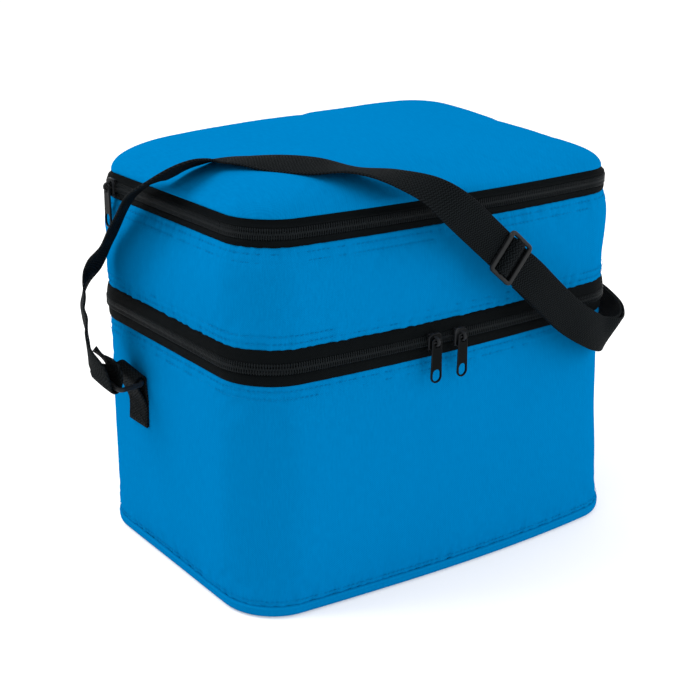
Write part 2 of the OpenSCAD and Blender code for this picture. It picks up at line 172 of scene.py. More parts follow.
# ---- Material graphs ----------------------------------------------------------------------------
class Graph:
    """The node tree of one material, with a method for each kind of node that the materials here use."""

    def __init__(self, name):
        self.material = bpy.data.materials.new(name)
        self.material.use_nodes = True
        self.tree = self.material.node_tree
        self.shader = self.tree.nodes["Principled BSDF"]

    def put(self, socket, value):
        """Links a socket to another one, or sets it to a number or to a colour given as (r, g, b)."""
        if isinstance(value, bpy.types.NodeSocket):
            self.tree.links.new(value, socket)
        elif isinstance(value, tuple):
            socket.default_value = (*value, 1.0)
        elif value is not None:
            socket.default_value = value

    def shade(self, **values):
        """The finished material. The shader's sockets are given by name, with _ for a space."""
        for key, value in values.items():
            self.put(self.shader.inputs[key.replace("_", " ")], value)
        return self.material

    def uv(self):
        node = self.tree.nodes.new("ShaderNodeUVMap")
        node.uv_map = "weave"
        return node.outputs["UV"]

    def place(self):
        return self.tree.nodes.new("ShaderNodeTexCoord").outputs["Object"]

    def split(self, vector):
        node = self.tree.nodes.new("ShaderNodeSeparateXYZ")
        self.put(node.inputs[0], vector)
        return node.outputs

    def join(self, x, y, z=0.0):
        node = self.tree.nodes.new("ShaderNodeCombineXYZ")
        for socket, value in zip(node.inputs, (x, y, z)):
            self.put(socket, value)
        return node.outputs[0]

    def math(self, operation, a, b=None):
        node = self.tree.nodes.new("ShaderNodeMath")
        node.operation = operation
        for socket, value in zip(node.inputs, (a, b)):
            self.put(socket, value)
        return node.outputs[0]

    def times(self, a, b):
        return self.math("MULTIPLY", a, b)

    def plus(self, a, b):
        return self.math("ADD", a, b)

    def noise(self, vector, scale, detail=2.0, roughness=0.5):
        node = self.tree.nodes.new("ShaderNodeTexNoise")
        self.put(node.inputs["Vector"], vector)
        self.put(node.inputs["Scale"], scale)
        self.put(node.inputs["Detail"], detail)
        self.put(node.inputs["Roughness"], roughness)
        return node.outputs["Fac"]

    def cells(self, vector, scale, feature="F1"):
        node = self.tree.nodes.new("ShaderNodeTexVoronoi")
        node.feature = feature
        self.put(node.inputs["Vector"], vector)
        self.put(node.inputs["Scale"], scale)
        return node.outputs["Distance"]

    def remap(self, value, from_low, from_high, low, high):
        node = self.tree.nodes.new("ShaderNodeMapRange")
        for socket, number in zip(node.inputs, (value, from_low, from_high, low, high)):
            self.put(socket, number)
        return node.outputs[0]

    def mix(self, factor, a, b):
        node = self.tree.nodes.new("ShaderNodeMix")
        node.data_type = "RGBA"
        self.put(node.inputs["Factor"], factor)
        self.put(node.inputs["A"], a)
        self.put(node.inputs["B"], b)
        return node.outputs["Result"]

    def bump(self, height, distance, strength):
        node = self.tree.nodes.new("ShaderNodeBump")
        self.put(node.inputs["Height"], height)
        self.put(node.inputs["Distance"], distance)
        self.put(node.inputs["Strength"], strength)
        return node.outputs[0]

    def worn(self, colour, share, bare):
        """A colour worn by a share towards a bare one on sharp outer edges."""
        node = self.tree.nodes.new("ShaderNodeNewGeometry")
        edge = self.remap(node.outputs["Pointiness"], 0.52, 0.6, 0.0, 1.0)
        return self.mix(self.times(edge, share), colour, bare)


def stretched(g, vector, along, across):
    """A vector scaled differently along and across, for streaks that follow the yarn."""
    x, y, _ = g.split(vector)
    return g.join(g.times(x, along), g.times(y, across))


def plain_weave(g, vector, pitch):
    """Height of a plain weave, about 0 to 1. Its uneven yarns lie pitch apart."""
    x, y, _ = g.split(vector)
    wave_x = g.math("SINE", g.times(x, math.pi / pitch))
    wave_y = g.math("SINE", g.times(y, math.pi / pitch))
    crossing = g.times(wave_x, wave_y)
    slub = g.noise(stretched(g, vector, 1100.0, 160.0), 1.0)
    return g.plus(g.times(crossing, 0.35), g.times(slub, 0.9))


def twill(g, vector, pitch, fold):
    """Height of a herringbone, -0.5 to 0.5: slanting ribs that turn back every fold across the width."""
    x, y, _ = g.split(vector)
    turned = g.math("ABSOLUTE", g.math("SUBTRACT", g.math("FRACT", g.math("DIVIDE", y, fold)), 0.5))
    slant = g.times(turned, fold / pitch * 2 * math.pi)
    ribs = g.math("SINE", g.plus(g.times(x, 2 * math.pi / pitch), slant))
    yarn = g.math("SINE", g.times(y, 2 * math.pi / (0.55 * pitch)))
    return g.plus(g.times(ribs, 0.35), g.times(yarn, 0.15))


def woven_blue():
    """Blue polyester: a fine plain weave with slubs, a little fading in broad patches and scuffed folds. The
    weave's low places are painted darker as painted shade.
    """
    g = Graph("blue_polyester")
    uv = g.uv()
    weave = plain_weave(g, uv, 0.00062)
    patches = g.noise(g.place(), 14.0, 3.0)
    streaks = g.noise(stretched(g, uv, 600.0, 30.0), 1.0)
    shade = g.plus(g.times(patches, 0.5), g.times(streaks, 0.5))
    body = g.mix(g.remap(shade, 0.3, 0.7, 0.0, 1.0), (0.0, 0.143, 0.359), (0.0, 0.159, 0.393))
    # Painted shade: where the weave's height is low, between crossings and along thin yarns, the colour goes
    # to the darker blue.
    yarns = g.mix(g.remap(weave, 0.1, 0.8, 0.0, 1.0), (0.0, 0.124, 0.321), body)
    worn = g.worn(yarns, 0.35, (0.0, 0.186, 0.42))
    return g.shade(
        Base_Color=worn,
        Roughness=g.remap(weave, 0.0, 1.0, 0.92, 0.78),
        Specular_IOR_Level=0.0,
        Sheen_Weight=0.04,
        Sheen_Roughness=0.4,
        Sheen_Tint=(0.0, 0.35, 0.9),
        Normal=g.bump(weave, 0.00022, 0.6),
    )


def woven_black(name, pitch, fold, light):
    """Black woven tape or webbing: herringbone ribs with a dull shine on their crowns, which is also painted
    into the colour as a painted highlight, with painted shade between the ribs.
    """
    g = Graph(name)
    uv = g.uv()
    ribs = twill(g, uv, pitch, fold)
    fuzz = g.noise(g.place(), 900.0, 2.0)
    height = g.plus(ribs, g.times(fuzz, 0.25))
    dust = g.noise(g.place(), 30.0, 3.0)
    # Painted highlight and painted shade: the ribs' crowns take the lighter colour given as light, and the
    # hollows between them the near-black one.
    yarns = g.mix(g.remap(height, -0.2, 0.5, 0.0, 1.0), (0.0006, 0.0010, 0.0013), light)
    worn = g.worn(yarns, 0.3, (0.012, 0.014, 0.016))
    return g.shade(
        Base_Color=g.mix(g.remap(dust, 0.4, 0.8, 0.0, 0.25), worn, (0.006, 0.008, 0.009)),
        Roughness=g.remap(ribs, -0.4, 0.5, 0.85, 0.62),
        Specular_IOR_Level=0.025,
        Normal=g.bump(height, 0.0006, 0.9),
    )


def black_coil():
    """Nylon monofilament: smooth, dark and a little glossy, with fine scratches."""
    g = Graph("black_coil")
    scratches = g.noise(stretched(g, g.place(), 400.0, 2600.0), 1.0)
    return g.shade(
        Base_Color=g.mix(scratches, (0.002, 0.0035, 0.0045), (0.005, 0.0075, 0.009)),
        Roughness=g.remap(scratches, 0.3, 0.7, 0.34, 0.5),
        Specular_IOR_Level=0.09,
        Normal=g.bump(scratches, 0.00005, 0.3),
    )


def enamel():
    """Black enamel on zinc: a fine orange-peel skin, worn a little towards grey on its edges."""
    g = Graph("black_enamel")
    peel = g.noise(g.place(), 1500.0, 2.0)
    smears = g.noise(g.place(), 160.0, 3.0)
    colour = g.mix(smears, (0.0005, 0.0010, 0.0013), (0.0016, 0.0023, 0.0028))
    return g.shade(
        Base_Color=g.worn(colour, 0.6, (0.035, 0.037, 0.04)),
        Roughness=g.remap(smears, 0.3, 0.7, 0.17, 0.3),
        Specular_IOR_Level=0.035,
        Normal=g.bump(peel, 0.00003, 0.35),
    )


def moulded():
    """Satin black moulded plastic with a fine spark-eroded grain."""
    g = Graph("moulded_plastic")
    grain = g.cells(g.place(), 2600.0)
    smears = g.noise(g.place(), 120.0, 3.0)
    colour = g.mix(smears, (0.004, 0.005, 0.0055), (0.008, 0.009, 0.010))
    return g.shade(
        Base_Color=g.worn(colour, 0.5, (0.03, 0.03, 0.033)),
        Roughness=g.remap(smears, 0.3, 0.7, 0.28, 0.42),
        Specular_IOR_Level=0.14,
        Normal=g.bump(grain, 0.00004, 0.4),
    )


def foil_lining():
    """Silver-grey foil film: crinkled, with a soft metallic shine and a faint grid of its backing scrim."""
    g = Graph("foil_lining")
    place = g.place()
    crinkle = g.cells(place, 70.0, "DISTANCE_TO_EDGE")
    fine = g.noise(place, 260.0, 4.0, 0.6)
    height = g.plus(g.times(crinkle, 1.4), g.times(fine, 0.5))
    return g.shade(
        Base_Color=g.mix(fine, (0.50, 0.52, 0.54), (0.66, 0.68, 0.70)),
        Metallic=0.55,
        Roughness=g.remap(fine, 0.3, 0.7, 0.3, 0.5),
        Normal=g.bump(height, 0.0012, 0.5),
    )


def foam():
    """Closed-cell foam: off-white, matt and finely pitted, a little yellowed in patches."""
    g = Graph("closed_cell_foam")
    place = g.place()
    pits = g.cells(place, 900.0)
    patches = g.noise(place, 22.0, 3.0)
    return g.shade(
        Base_Color=g.mix(patches, (0.80, 0.79, 0.74), (0.70, 0.68, 0.60)),
        Roughness=g.remap(pits, 0.0, 0.6, 0.95, 0.8),
        Specular_IOR_Level=0.2,
        Normal=g.bump(pits, 0.0005, 0.5),
    )


def fibre_board():
    """Stiffener board: dark pressed fibres with a rough face."""
    g = Graph("fibre_board")
    place = g.place()
    fibres = g.noise(stretched(g, place, 120.0, 900.0), 1.0, 4.0, 0.7)
    return g.shade(
        Base_Color=g.mix(fibres, (0.035, 0.032, 0.030), (0.11, 0.10, 0.09)),
        Roughness=g.remap(fibres, 0.2, 0.8, 0.95, 0.75),
        Normal=g.bump(fibres, 0.0004, 0.6),
    )


def thread(name, low, high):
    """Twisted sewing thread: slanting strands with a soft shine."""
    g = Graph(name)
    strands = g.noise(stretched(g, g.place(), 3000.0, 700.0), 1.0)
    return g.shade(
        Base_Color=g.mix(strands, low, high),
        Roughness=g.remap(strands, 0.3, 0.7, 0.85, 0.7),
        Specular_IOR_Level=0.03,
        Normal=g.bump(strands, 0.0001, 0.5),
    )


BLUE = woven_blue()
# The third colour of each is the painted highlight on the ribs' crowns.
TAPE = woven_black("black_tape", 0.0011, 0.0042, (0.0045, 0.0062, 0.0070))
WEBBING = woven_black("black_webbing", 0.0019, 0.0032, (0.0072, 0.0095, 0.0107))
COIL = black_coil()
ENAMEL = enamel()
MOULDED = moulded()
FOIL = foil_lining()
FOAM = foam()
BOARD = fibre_board()
BLUE_THREAD = thread("blue_thread", (0.0, 0.115, 0.29), (0.0, 0.14, 0.345))
BLACK_THREAD = thread("black_thread", (0.006, 0.007, 0.008), (0.020, 0.022, 0.024))


# ---- Meshes -------------------------------------------------------------------------------------
def mesh_of(name, points, faces, face_uvs=None):
    """A smooth-shaded mesh from points in millimetres. face_uvs lists a (u, v) in metres for each corner
    of each face, in order."""
    mesh = bpy.data.meshes.new(name)
    mesh.from_pydata((np.asarray(points, float) * MM).tolist(), [], faces)
    if face_uvs is not None:
        layer = mesh.uv_layers.new(name="weave")
        layer.data.foreach_set("uv", np.asarray(face_uvs, np.float32).ravel())
    mesh.validate()
    mesh.shade_smooth()
    return mesh


def piece(name, mesh, material, body=None, stands_for=(), smooth_levels=0, sharp=None):
    """An object for a mesh, in the scene, with its material, its body and the CAD nodes that it replaces."""
    obj = bpy.data.objects.new(name, mesh)
    bpy.context.scene.collection.objects.link(obj)
    mesh.materials.clear()
    mesh.materials.append(material)
    if sharp is not None:
        mesh.set_sharp_from_angle(angle=math.radians(sharp))
    if smooth_levels:
        subdivision = obj.modifiers.new("smooth", "SUBSURF")
        subdivision.levels = smooth_levels
        subdivision.render_levels = smooth_levels
    if body:
        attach(obj, body)
    if stands_for:
        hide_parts(*stands_for)
    return obj


def joined(meshes):
    """Points, faces and corner UVs of several (points, faces, uvs) parts as one."""
    points, faces, uvs = [], [], []
    start = 0
    for part_points, part_faces, part_uvs in meshes:
        points.append(part_points)
        faces.extend([tuple(i + start for i in face) for face in part_faces])
        uvs.append(part_uvs)
        start += len(part_points)
    return np.concatenate(points), faces, np.concatenate(uvs)


def ring_faces(rings, count):
    """Faces between rings of count points each, which are numbered ring by ring."""
    faces = []
    for start in range(0, (rings - 1) * count, count):
        for n in range(count):
            here, there = start + n, start + (n + 1) % count
            faces.append((here, there, there + count, here + count))
    return faces


def disc_faces(rings, count):
    """Faces of rings of count points each that are closed in the middle by one last point."""
    last = (rings - 1) * count
    middle = last + count
    return ring_faces(rings, count) + [(last + n, last + (n + 1) % count, middle) for n in range(count)]


def tube_faces(rings, count):
    """Faces of a tube of rings whose two ends are closed."""
    last = (rings - 1) * count
    return ring_faces(rings, count) + [tuple(range(count))[::-1], tuple(range(last, last + count))]


# ---- Plan outline -------------------------------------------------------------------------------
def swell(x):
    """How far the front or back stands out beyond the side walls' depth, x from the middle."""
    return np.where(np.abs(x) >= HALF_W, 0.0, np.sqrt(np.maximum(BOW_R**2 - x * x, 0.0)) - (BOW_R - BOW))


PLAN_STEP = 1.4
CORNER_STEPS = 36


def plan_samples():
    """Samples round the plan, counter-clockwise from the middle of the back: the centre that each is
    struck from, its outward direction, and the side (1 back, -1 front, 0 neither) whose swell it has."""
    corner_x, corner_y = HALF_W - CORNER_R, HALF_D - CORNER_R
    centres, outward, side = [], [], []

    def add(centre, direction, swells):
        centres.append(centre)
        outward.append(direction)
        side.append(swells)

    def spaced(a, b):
        return np.linspace(a, b, max(2, round(abs(b - a) / PLAN_STEP)), endpoint=False)

    def bowed(sign, a, b):
        for x in spaced(a, b):
            add((x, sign * corner_y), (0.0, sign), sign)

    def wall(sign, a, b):
        for y in spaced(a, b):
            add((sign * corner_x, y), (sign, 0.0), 0.0)

    def corner(sign_x, sign_y, first):
        for angle in np.radians(np.linspace(first, first + 90, CORNER_STEPS, endpoint=False)):
            add((sign_x * corner_x, sign_y * corner_y), (math.cos(angle), math.sin(angle)), sign_y)

    bowed(1, 0, -HINGE_HALF_W)
    bowed(1, -HINGE_HALF_W, -corner_x)
    corner(-1, 1, 90)
    wall(-1, corner_y, -corner_y)
    corner(-1, -1, 180)
    bowed(-1, -corner_x, corner_x)
    corner(1, -1, 270)
    wall(1, -corner_y, corner_y)
    corner(1, 1, 0)
    bowed(1, corner_x, HINGE_HALF_W)
    bowed(1, HINGE_HALF_W, 0)
    return np.array(centres), np.array(outward), np.array(side)


CENTRES, OUTWARD, SWELLS = plan_samples()
PLAN_COUNT = len(CENTRES)


def outline(inset):
    """The plan at an inset, which may differ from sample to sample."""
    xy = CENTRES + OUTWARD * (CORNER_R - np.broadcast_to(inset, PLAN_COUNT))[:, None]
    xy[:, 1] += SWELLS * swell(xy[:, 0])
    return xy


def lengths_along(points):
    """Distance along a line to each of its points."""
    steps = np.linalg.norm(np.diff(np.asarray(points, float), axis=0), axis=1)
    return np.concatenate([[0.0], np.cumsum(steps)])


def closed_up(rows):
    """Rows with the first one again at the end."""
    return np.concatenate([rows, rows[:1]])


AROUND = lengths_along(closed_up(outline(0.0)))
HINGE_COUNT = int(np.argmin(np.abs(outline(0.0)[: PLAN_COUNT // 4, 0] + HINGE_HALF_W)))
ALL_ROUND = np.arange(PLAN_COUNT + 1)
ZIP_SPAN = np.arange(HINGE_COUNT, PLAN_COUNT - HINGE_COUNT + 1)
HINGE_SPAN = np.arange(PLAN_COUNT - HINGE_COUNT, PLAN_COUNT + HINGE_COUNT + 1)


def wavy(s, z, size, seed):
    """Smooth noise on the wall, about -1 to 1, at distance s round it and height z."""
    turn = s / AROUND[-1] * 2 * math.pi
    radius = AROUND[-1] / (2 * math.pi * size)
    return noise.noise(Vector((math.cos(turn) * radius + seed, math.sin(turn) * radius, z / size)))


def swept(profile, span=ALL_ROUND, closed=False, relief=None):
    """Cloth or foam carried round the plan. The profile's (inset, z) points run upwards on the outside; a
    closed one goes on down the inside. relief(k, z) is how far sample k stands out at height z."""
    columns = span % PLAN_COUNT
    whole = len(np.unique(columns)) == PLAN_COUNT
    width = len(span) - 1 if whole else len(span)
    rows = len(profile)
    points = np.zeros((width, rows, 3))
    for j, (inset, z) in enumerate(profile):
        push = np.zeros(PLAN_COUNT)
        if relief is not None:
            push = np.array([relief(k, z) for k in range(PLAN_COUNT)])
        points[:, j, :2] = outline(inset - push)[columns[:width]]
        points[:, j, 2] = z
    height = lengths_along(closed_up(profile) if closed else profile) * MM
    along = (AROUND[columns] + AROUND[-1] * (span // PLAN_COUNT)) * MM
    faces, uvs = [], []
    for i in range(len(span) - 1):
        for j in range(rows if closed else rows - 1):
            corners = ((i, j), (i + 1, j), (i + 1, j + 1), (i, j + 1))
            faces.append(tuple(column % width * rows + row % rows for column, row in corners))
            uvs += [(along[column], height[row]) for column, row in corners]
    if closed and not whole:
        for end, order in ((0, range(rows)), (width - 1, range(rows - 1, -1, -1))):
            faces.append(tuple(end * rows + j for j in order))
            uvs += [(along[end], height[j]) for j in order]
    return points.reshape(-1, 3), faces, np.array(uvs)


def disc(inset, shares, height, flip=False):
    """A sheet across the whole plan, in rings at shares of its outline from the rim to near the middle.
    height(share, k, x, y) is each point's z, for sample k. UVs are the plan itself, in metres."""
    loop = outline(inset)
    points = [
        (x, y, height(share, k, x, y))
        for share in shares
        for k, (x, y) in enumerate(loop * share)
    ]
    points.append((0.0, 0.0, height(0.0, 0, 0.0, 0.0)))
    points = np.array(points)
    faces = disc_faces(len(shares), PLAN_COUNT)
    if flip:
        faces = [face[::-1] for face in faces]
    return points, faces, points[np.concatenate(faces), :2] * MM


def thicken(obj, thickness):
    """Gives a sheet its thickness, on its inner side."""
    solid = obj.modifiers.new("thickness", "SOLIDIFY")
    solid.thickness = thickness * MM
    solid.offset = -1.0


def heights(low, high, step):
    """Even heights from low to high, about a step apart."""
    return np.linspace(low, high, max(2, round((high - low) / step) + 1))


def upright(z):
    """The lower compartment's walls don't lean in."""
    return 0.0


UPPER_LEAN = 3.2
UPPER_LEAN_Z = 200.0


def upper_lean(z):
    """How far the upper wall leans in towards the upper zip, which is the narrower one."""
    return UPPER_LEAN * np.clip((z - UPPER_LEAN_Z) / (UPPER_TAPE_Z - UPPER_LEAN_Z), 0, 1) ** 2.4


SPREAD = 8.0
SPREAD_WAY = np.array([0.62, -0.78])
SPREAD_REACH = 150.0


def settled(points):
    """Points of the lower compartment's fabric, moved as it spreads near the floor, most of all at the
    front right corner."""
    points = np.array(points, float)
    share = np.clip(points[:, :2] @ SPREAD_WAY / SPREAD_REACH, 0, 1)
    share = share * share * (3 - 2 * share)
    share *= np.clip(1 - points[:, 2] / LOWER_TAPE_Z, 0, 1) ** 1.5
    points[:, :2] += SPREAD * share[:, None] * SPREAD_WAY
    return points


# ---- Cloth --------------------------------------------------------------------------------------
CLOTH_FRAMES = 20


def cloth_moves(points, faces, pinned, pressure, growth, cap):
    """How far each point of a coarse cloth moves, in millimetres, when it is blown out gently from
    behind with its pinned points held and its weave grown a little."""
    points = np.asarray(points, float)
    mesh = mesh_of("cloth", points, faces)
    obj = bpy.data.objects.new("cloth", mesh)
    scene = bpy.context.scene
    scene.collection.objects.link(obj)
    pins = obj.vertex_groups.new(name="pins")
    pins.add([int(i) for i in np.flatnonzero(pinned)], 1.0, "REPLACE")
    cloth = obj.modifiers.new("cloth", "CLOTH")
    settings = cloth.settings
    settings.quality = 6
    settings.mass = 0.25
    settings.tension_stiffness = 12.0
    settings.compression_stiffness = 12.0
    settings.shear_stiffness = 4.0
    settings.bending_stiffness = 0.4
    settings.air_damping = 2.0
    settings.vertex_group_mass = "pins"
    settings.use_pressure = True
    settings.uniform_pressure_force = pressure
    settings.shrink_min = -growth
    settings.effector_weights.gravity = 0.0
    cloth.collision_settings.use_collision = False
    cloth.point_cache.frame_start = 1
    cloth.point_cache.frame_end = CLOTH_FRAMES
    for frame_number in range(1, CLOTH_FRAMES + 1):
        scene.frame_set(frame_number)
    blown = obj.evaluated_get(bpy.context.evaluated_depsgraph_get()).to_mesh()
    moved = np.zeros(len(points) * 3)
    blown.vertices.foreach_get("co", moved)
    moves = moved.reshape(-1, 3) / MM - points
    bpy.data.objects.remove(obj)
    bpy.data.meshes.remove(mesh)
    scene.frame_set(1)
    length = np.linalg.norm(moves, axis=1)[:, None]
    return moves * (cap * np.tanh(length / cap) / np.maximum(length, 1e-6))


CLOTH_SKIP = 4


def between_columns(grid, k):
    """A column of a coarse cloth's grid, at sample k of the plan."""
    column = k / CLOTH_SKIP
    c = min(int(column), grid.shape[1] - 1)
    share = min(column - c, 1.0)
    return grid[:, c] * (1 - share) + grid[:, (c + 1) % grid.shape[1]] * share


def wall_cloth(low, high, lean):
    """A function of (k, z): how far the cloth simulation pushes out the wall between two seams."""
    columns = np.arange(0, PLAN_COUNT, CLOTH_SKIP)
    levels = heights(low, high, 6.0)
    rings = [np.column_stack([outline(lean(z) + 0.4)[columns], np.full(len(columns), z)]) for z in levels]
    points = np.concatenate(rings)
    count = len(columns)
    pinned = (points[:, 2] < low + 4) | (points[:, 2] > high - 4)
    faces = ring_faces(len(levels), count)
    moves = cloth_moves(points, faces, pinned, pressure=3.0, growth=0.006, cap=1.6)
    moves = moves.reshape(len(levels), count, 3)
    push = np.sum(moves[:, :, :2] * OUTWARD[columns], axis=2)

    def pushed(k, z):
        return np.interp(z, levels, between_columns(push, k))

    return pushed


# ---- Fabric shells ------------------------------------------------------------------------------
def bump_at(z, middle, half):
    """1 at the middle height and 0 beyond half away from it, smoothly."""
    t = np.clip(1 - abs(z - middle) / half, 0.0, 1.0)
    return t * t * (3 - 2 * t)


# Distances of the two rows of stitches from a wall's edge, and of a wall's levels from each other.
NEAR_ROW = 3.2
FAR_ROW = 7.6
FINE_STEP = 1.1
COARSE_STEP = 4.0


def wall_relief(low, high, lean, seed):
    """Relief of a padded wall between two seams: it fills out between them as the cloth simulation has
    it, wavers a little, puckers close to the seams and dips where the stitches pull it in."""
    pushed = wall_cloth(low, high, lean)
    rows = (low + NEAR_ROW, low + FAR_ROW, high - NEAR_ROW, high - FAR_ROW)

    def relief(k, z):
        s = AROUND[k]
        share = np.clip((z - low) / (high - low), 0, 1)
        fill = 1.1 * math.sin(math.pi * share) ** 0.6 - 0.9
        edge = min(abs(z - low), abs(high - z))
        pucker = 0.9 * bump_at(edge, 3.0, 11.0) * wavy(s, z * 0.2, 3.6, seed + 9.0)
        waver = 0.8 * wavy(s, z, 46.0, seed) + 0.35 * wavy(s, z * 0.6, 17.0, seed + 4.0)
        stitches = -0.28 * max(bump_at(z, row, 1.6) for row in rows)
        return fill + pushed(k, z) + pucker + waver * math.sin(math.pi * share) ** 0.5 + stitches

    return relief


def lower_shell():
    """The lower compartment's blue wall, from the rolled base edge to the zip."""
    top = LOWER_TAPE_Z
    levels = [*heights(BASE_RIM_Z, 24, 1.7), *heights(26, top - 12, COARSE_STEP)]
    levels += [*heights(top - 10.5, top + 0.5, FINE_STEP)]
    relief = wall_relief(BASE_RIM_Z, top, upright, 1.0)
    points, *rest = swept([(0.4, z) for z in levels], relief=relief)
    mesh = mesh_of("lower_shell", settled(points), *rest)
    obj = piece("lower_shell", mesh, BLUE, "lower_compartment", ["lower_wall_fabric"])
    thicken(obj, FABRIC_T)


def base_shell():
    """The base fabric: flat underneath, rolled up round its edge into a corded seam."""
    flat_inset = 40.0
    flat = [(flat_inset, 0.0), (14.0, 0.0), (6.0, 0.0)]
    edge = [(3.6, 0.15), (2.0, 0.7), (0.9, 1.7), (0.25, 3.0), (0.0, 4.4)]
    seam = [(0.2, 5.0), (0.0, 5.6), (-0.15, 6.2), (0.05, 6.8), (0.5, 7.2), (1.3, 7.4)]

    def relief(k, z):
        return 0.25 * wavy(AROUND[k], z, 30.0, 7.0) * min(z, 4.0) / 4.0

    rim = swept(flat + edge + seam, relief=relief)
    bottom = disc(flat_inset, [1.0, 0.6, 0.25], lambda share, k, x, y: 0.0, flip=True)
    points, *rest = joined([rim, bottom])
    mesh = mesh_of("base_shell", settled(points), *rest)
    obj = piece("base_shell", mesh, BLUE, "lower_compartment", ["base_fabric"])


def upper_shell():
    """The upper compartment's blue wall, drawn in at its top to the narrower upper zip."""
    foot, top = UPPER_WALL_Z, UPPER_TAPE_Z
    levels = [*heights(foot - 0.5, foot + 10, FINE_STEP), *heights(176, 206, COARSE_STEP)]
    levels += [*heights(208, top + 0.3, FINE_STEP)]
    relief = wall_relief(foot, top, upper_lean, 3.0)
    wall = swept([(0.2 + upper_lean(z), z) for z in levels], relief=relief)
    mesh = mesh_of("upper_shell", *wall)
    obj = piece("upper_shell", mesh, BLUE, "upper_compartment", ["upper_wall_fabric"])
    thicken(obj, FABRIC_T)


LID_INSET = UPPER_ZIP_INSET + 1.2
CROWN = 22.7
CROWN_TO_RIGHT = 0.087
CROWN_TO_BACK = 0.20
CROWN_TO_RIGHT_BACK = 0.23
BOXY_SHARE = 0.61


def dome(share):
    """Height of the padded lid at a share of its outline, as a share of the crown: partly a flat top
    with a tight edge, partly a round one."""
    return BOXY_SHARE * np.sqrt(1 - share**11) + (1 - BOXY_SHARE) * (1 - share**2)


def crown_at(x, y):
    """The lid's crown at a place: the padding stands highest towards the right at the back."""
    right, back = x / HALF_W, y / HALF_D
    return CROWN * (1 + CROWN_TO_RIGHT * right + CROWN_TO_BACK * back + CROWN_TO_RIGHT_BACK * right * back)


DOME_SHARES = [
    1.0, 0.9996, 0.9985, 0.996, 0.992, 0.986, 0.978, 0.97, 0.962, 0.954, 0.945, 0.934, 0.92, 0.9, 0.875,
    0.85, 0.82, 0.79, 0.755, 0.72, 0.68, 0.64, 0.6, 0.55, 0.5, 0.45, 0.4, 0.34, 0.28, 0.22, 0.16, 0.1, 0.05,
]
LID_CLOTH_SHARES = [
    1.0, 0.994, 0.98, 0.96, 0.93, 0.89, 0.84, 0.78, 0.71, 0.64, 0.56, 0.48, 0.4, 0.32, 0.24, 0.16, 0.08,
]


def lid_cloth():
    """A function of (share, k): how far the cloth simulation lifts the lid's cover."""
    columns = np.arange(0, PLAN_COUNT, CLOTH_SKIP)
    loop = outline(LID_INSET)[columns]
    rings = [
        np.column_stack([loop * share, LID_Z + dome(share) * crown_at(*(loop * share).T)])
        for share in LID_CLOTH_SHARES
    ]
    middle = np.array([[0.0, 0.0, LID_Z + dome(0.0) * crown_at(0.0, 0.0)]])
    points = np.concatenate(rings + [middle])
    count = len(columns)
    pinned = np.arange(len(points)) < 2 * count
    faces = disc_faces(len(LID_CLOTH_SHARES), count)
    lifts = cloth_moves(points, faces, pinned, pressure=1.5, growth=0.006, cap=2.0)[:, 2]
    grid = np.vstack([lifts[:-1].reshape(-1, count), np.full(count, lifts[-1])])[::-1]
    shares = [0.0] + LID_CLOTH_SHARES[::-1]

    def lifted(share, k):
        return np.interp(share, shares, between_columns(grid, k))

    return lifted


def lid_lift(x, y):
    """The lid's padding: broad unevenness over the crown."""
    broad = noise.noise(Vector((x / 70.0, y / 70.0, 2.0)))
    small = noise.noise(Vector((x / 24.0, y / 24.0, 5.0)))
    reach = max(abs(x) / HALF_W, abs(y) / HALF_D)
    return (0.9 * broad + 0.3 * small) * max(0.0, 1 - reach**6)


def lid_cover():
    lifted = lid_cloth()

    def height(share, k, x, y):
        return LID_Z + dome(share) * crown_at(x, y) + lid_lift(x, y) + lifted(share, k)

    mesh = mesh_of("lid_cover", *disc(LID_INSET, DOME_SHARES, height))
    obj = piece("lid_cover", mesh, BLUE, "lid", ["lid_fabric"])
    thicken(obj, FABRIC_T)


# ---- Zips ---------------------------------------------------------------------------------------
Zip = namedtuple("Zip", "name below above low high face_low face_high coil_face")
ZIPS = (
    Zip("lower", "lower_compartment", "upper_compartment", LOWER_TAPE_Z, UPPER_WALL_Z, 0.4, 0.2, 0.3),
    Zip("upper", "upper_compartment", "lid", UPPER_TAPE_Z, LID_Z, 3.6, 5.6, UPPER_ZIP_INSET),
)


def tape_face(seam, z):
    """Inset of a zip's tape at a height, between those at its low and high edges."""
    return seam.face_low + (seam.face_high - seam.face_low) * (z - seam.low) / (seam.high - seam.low)


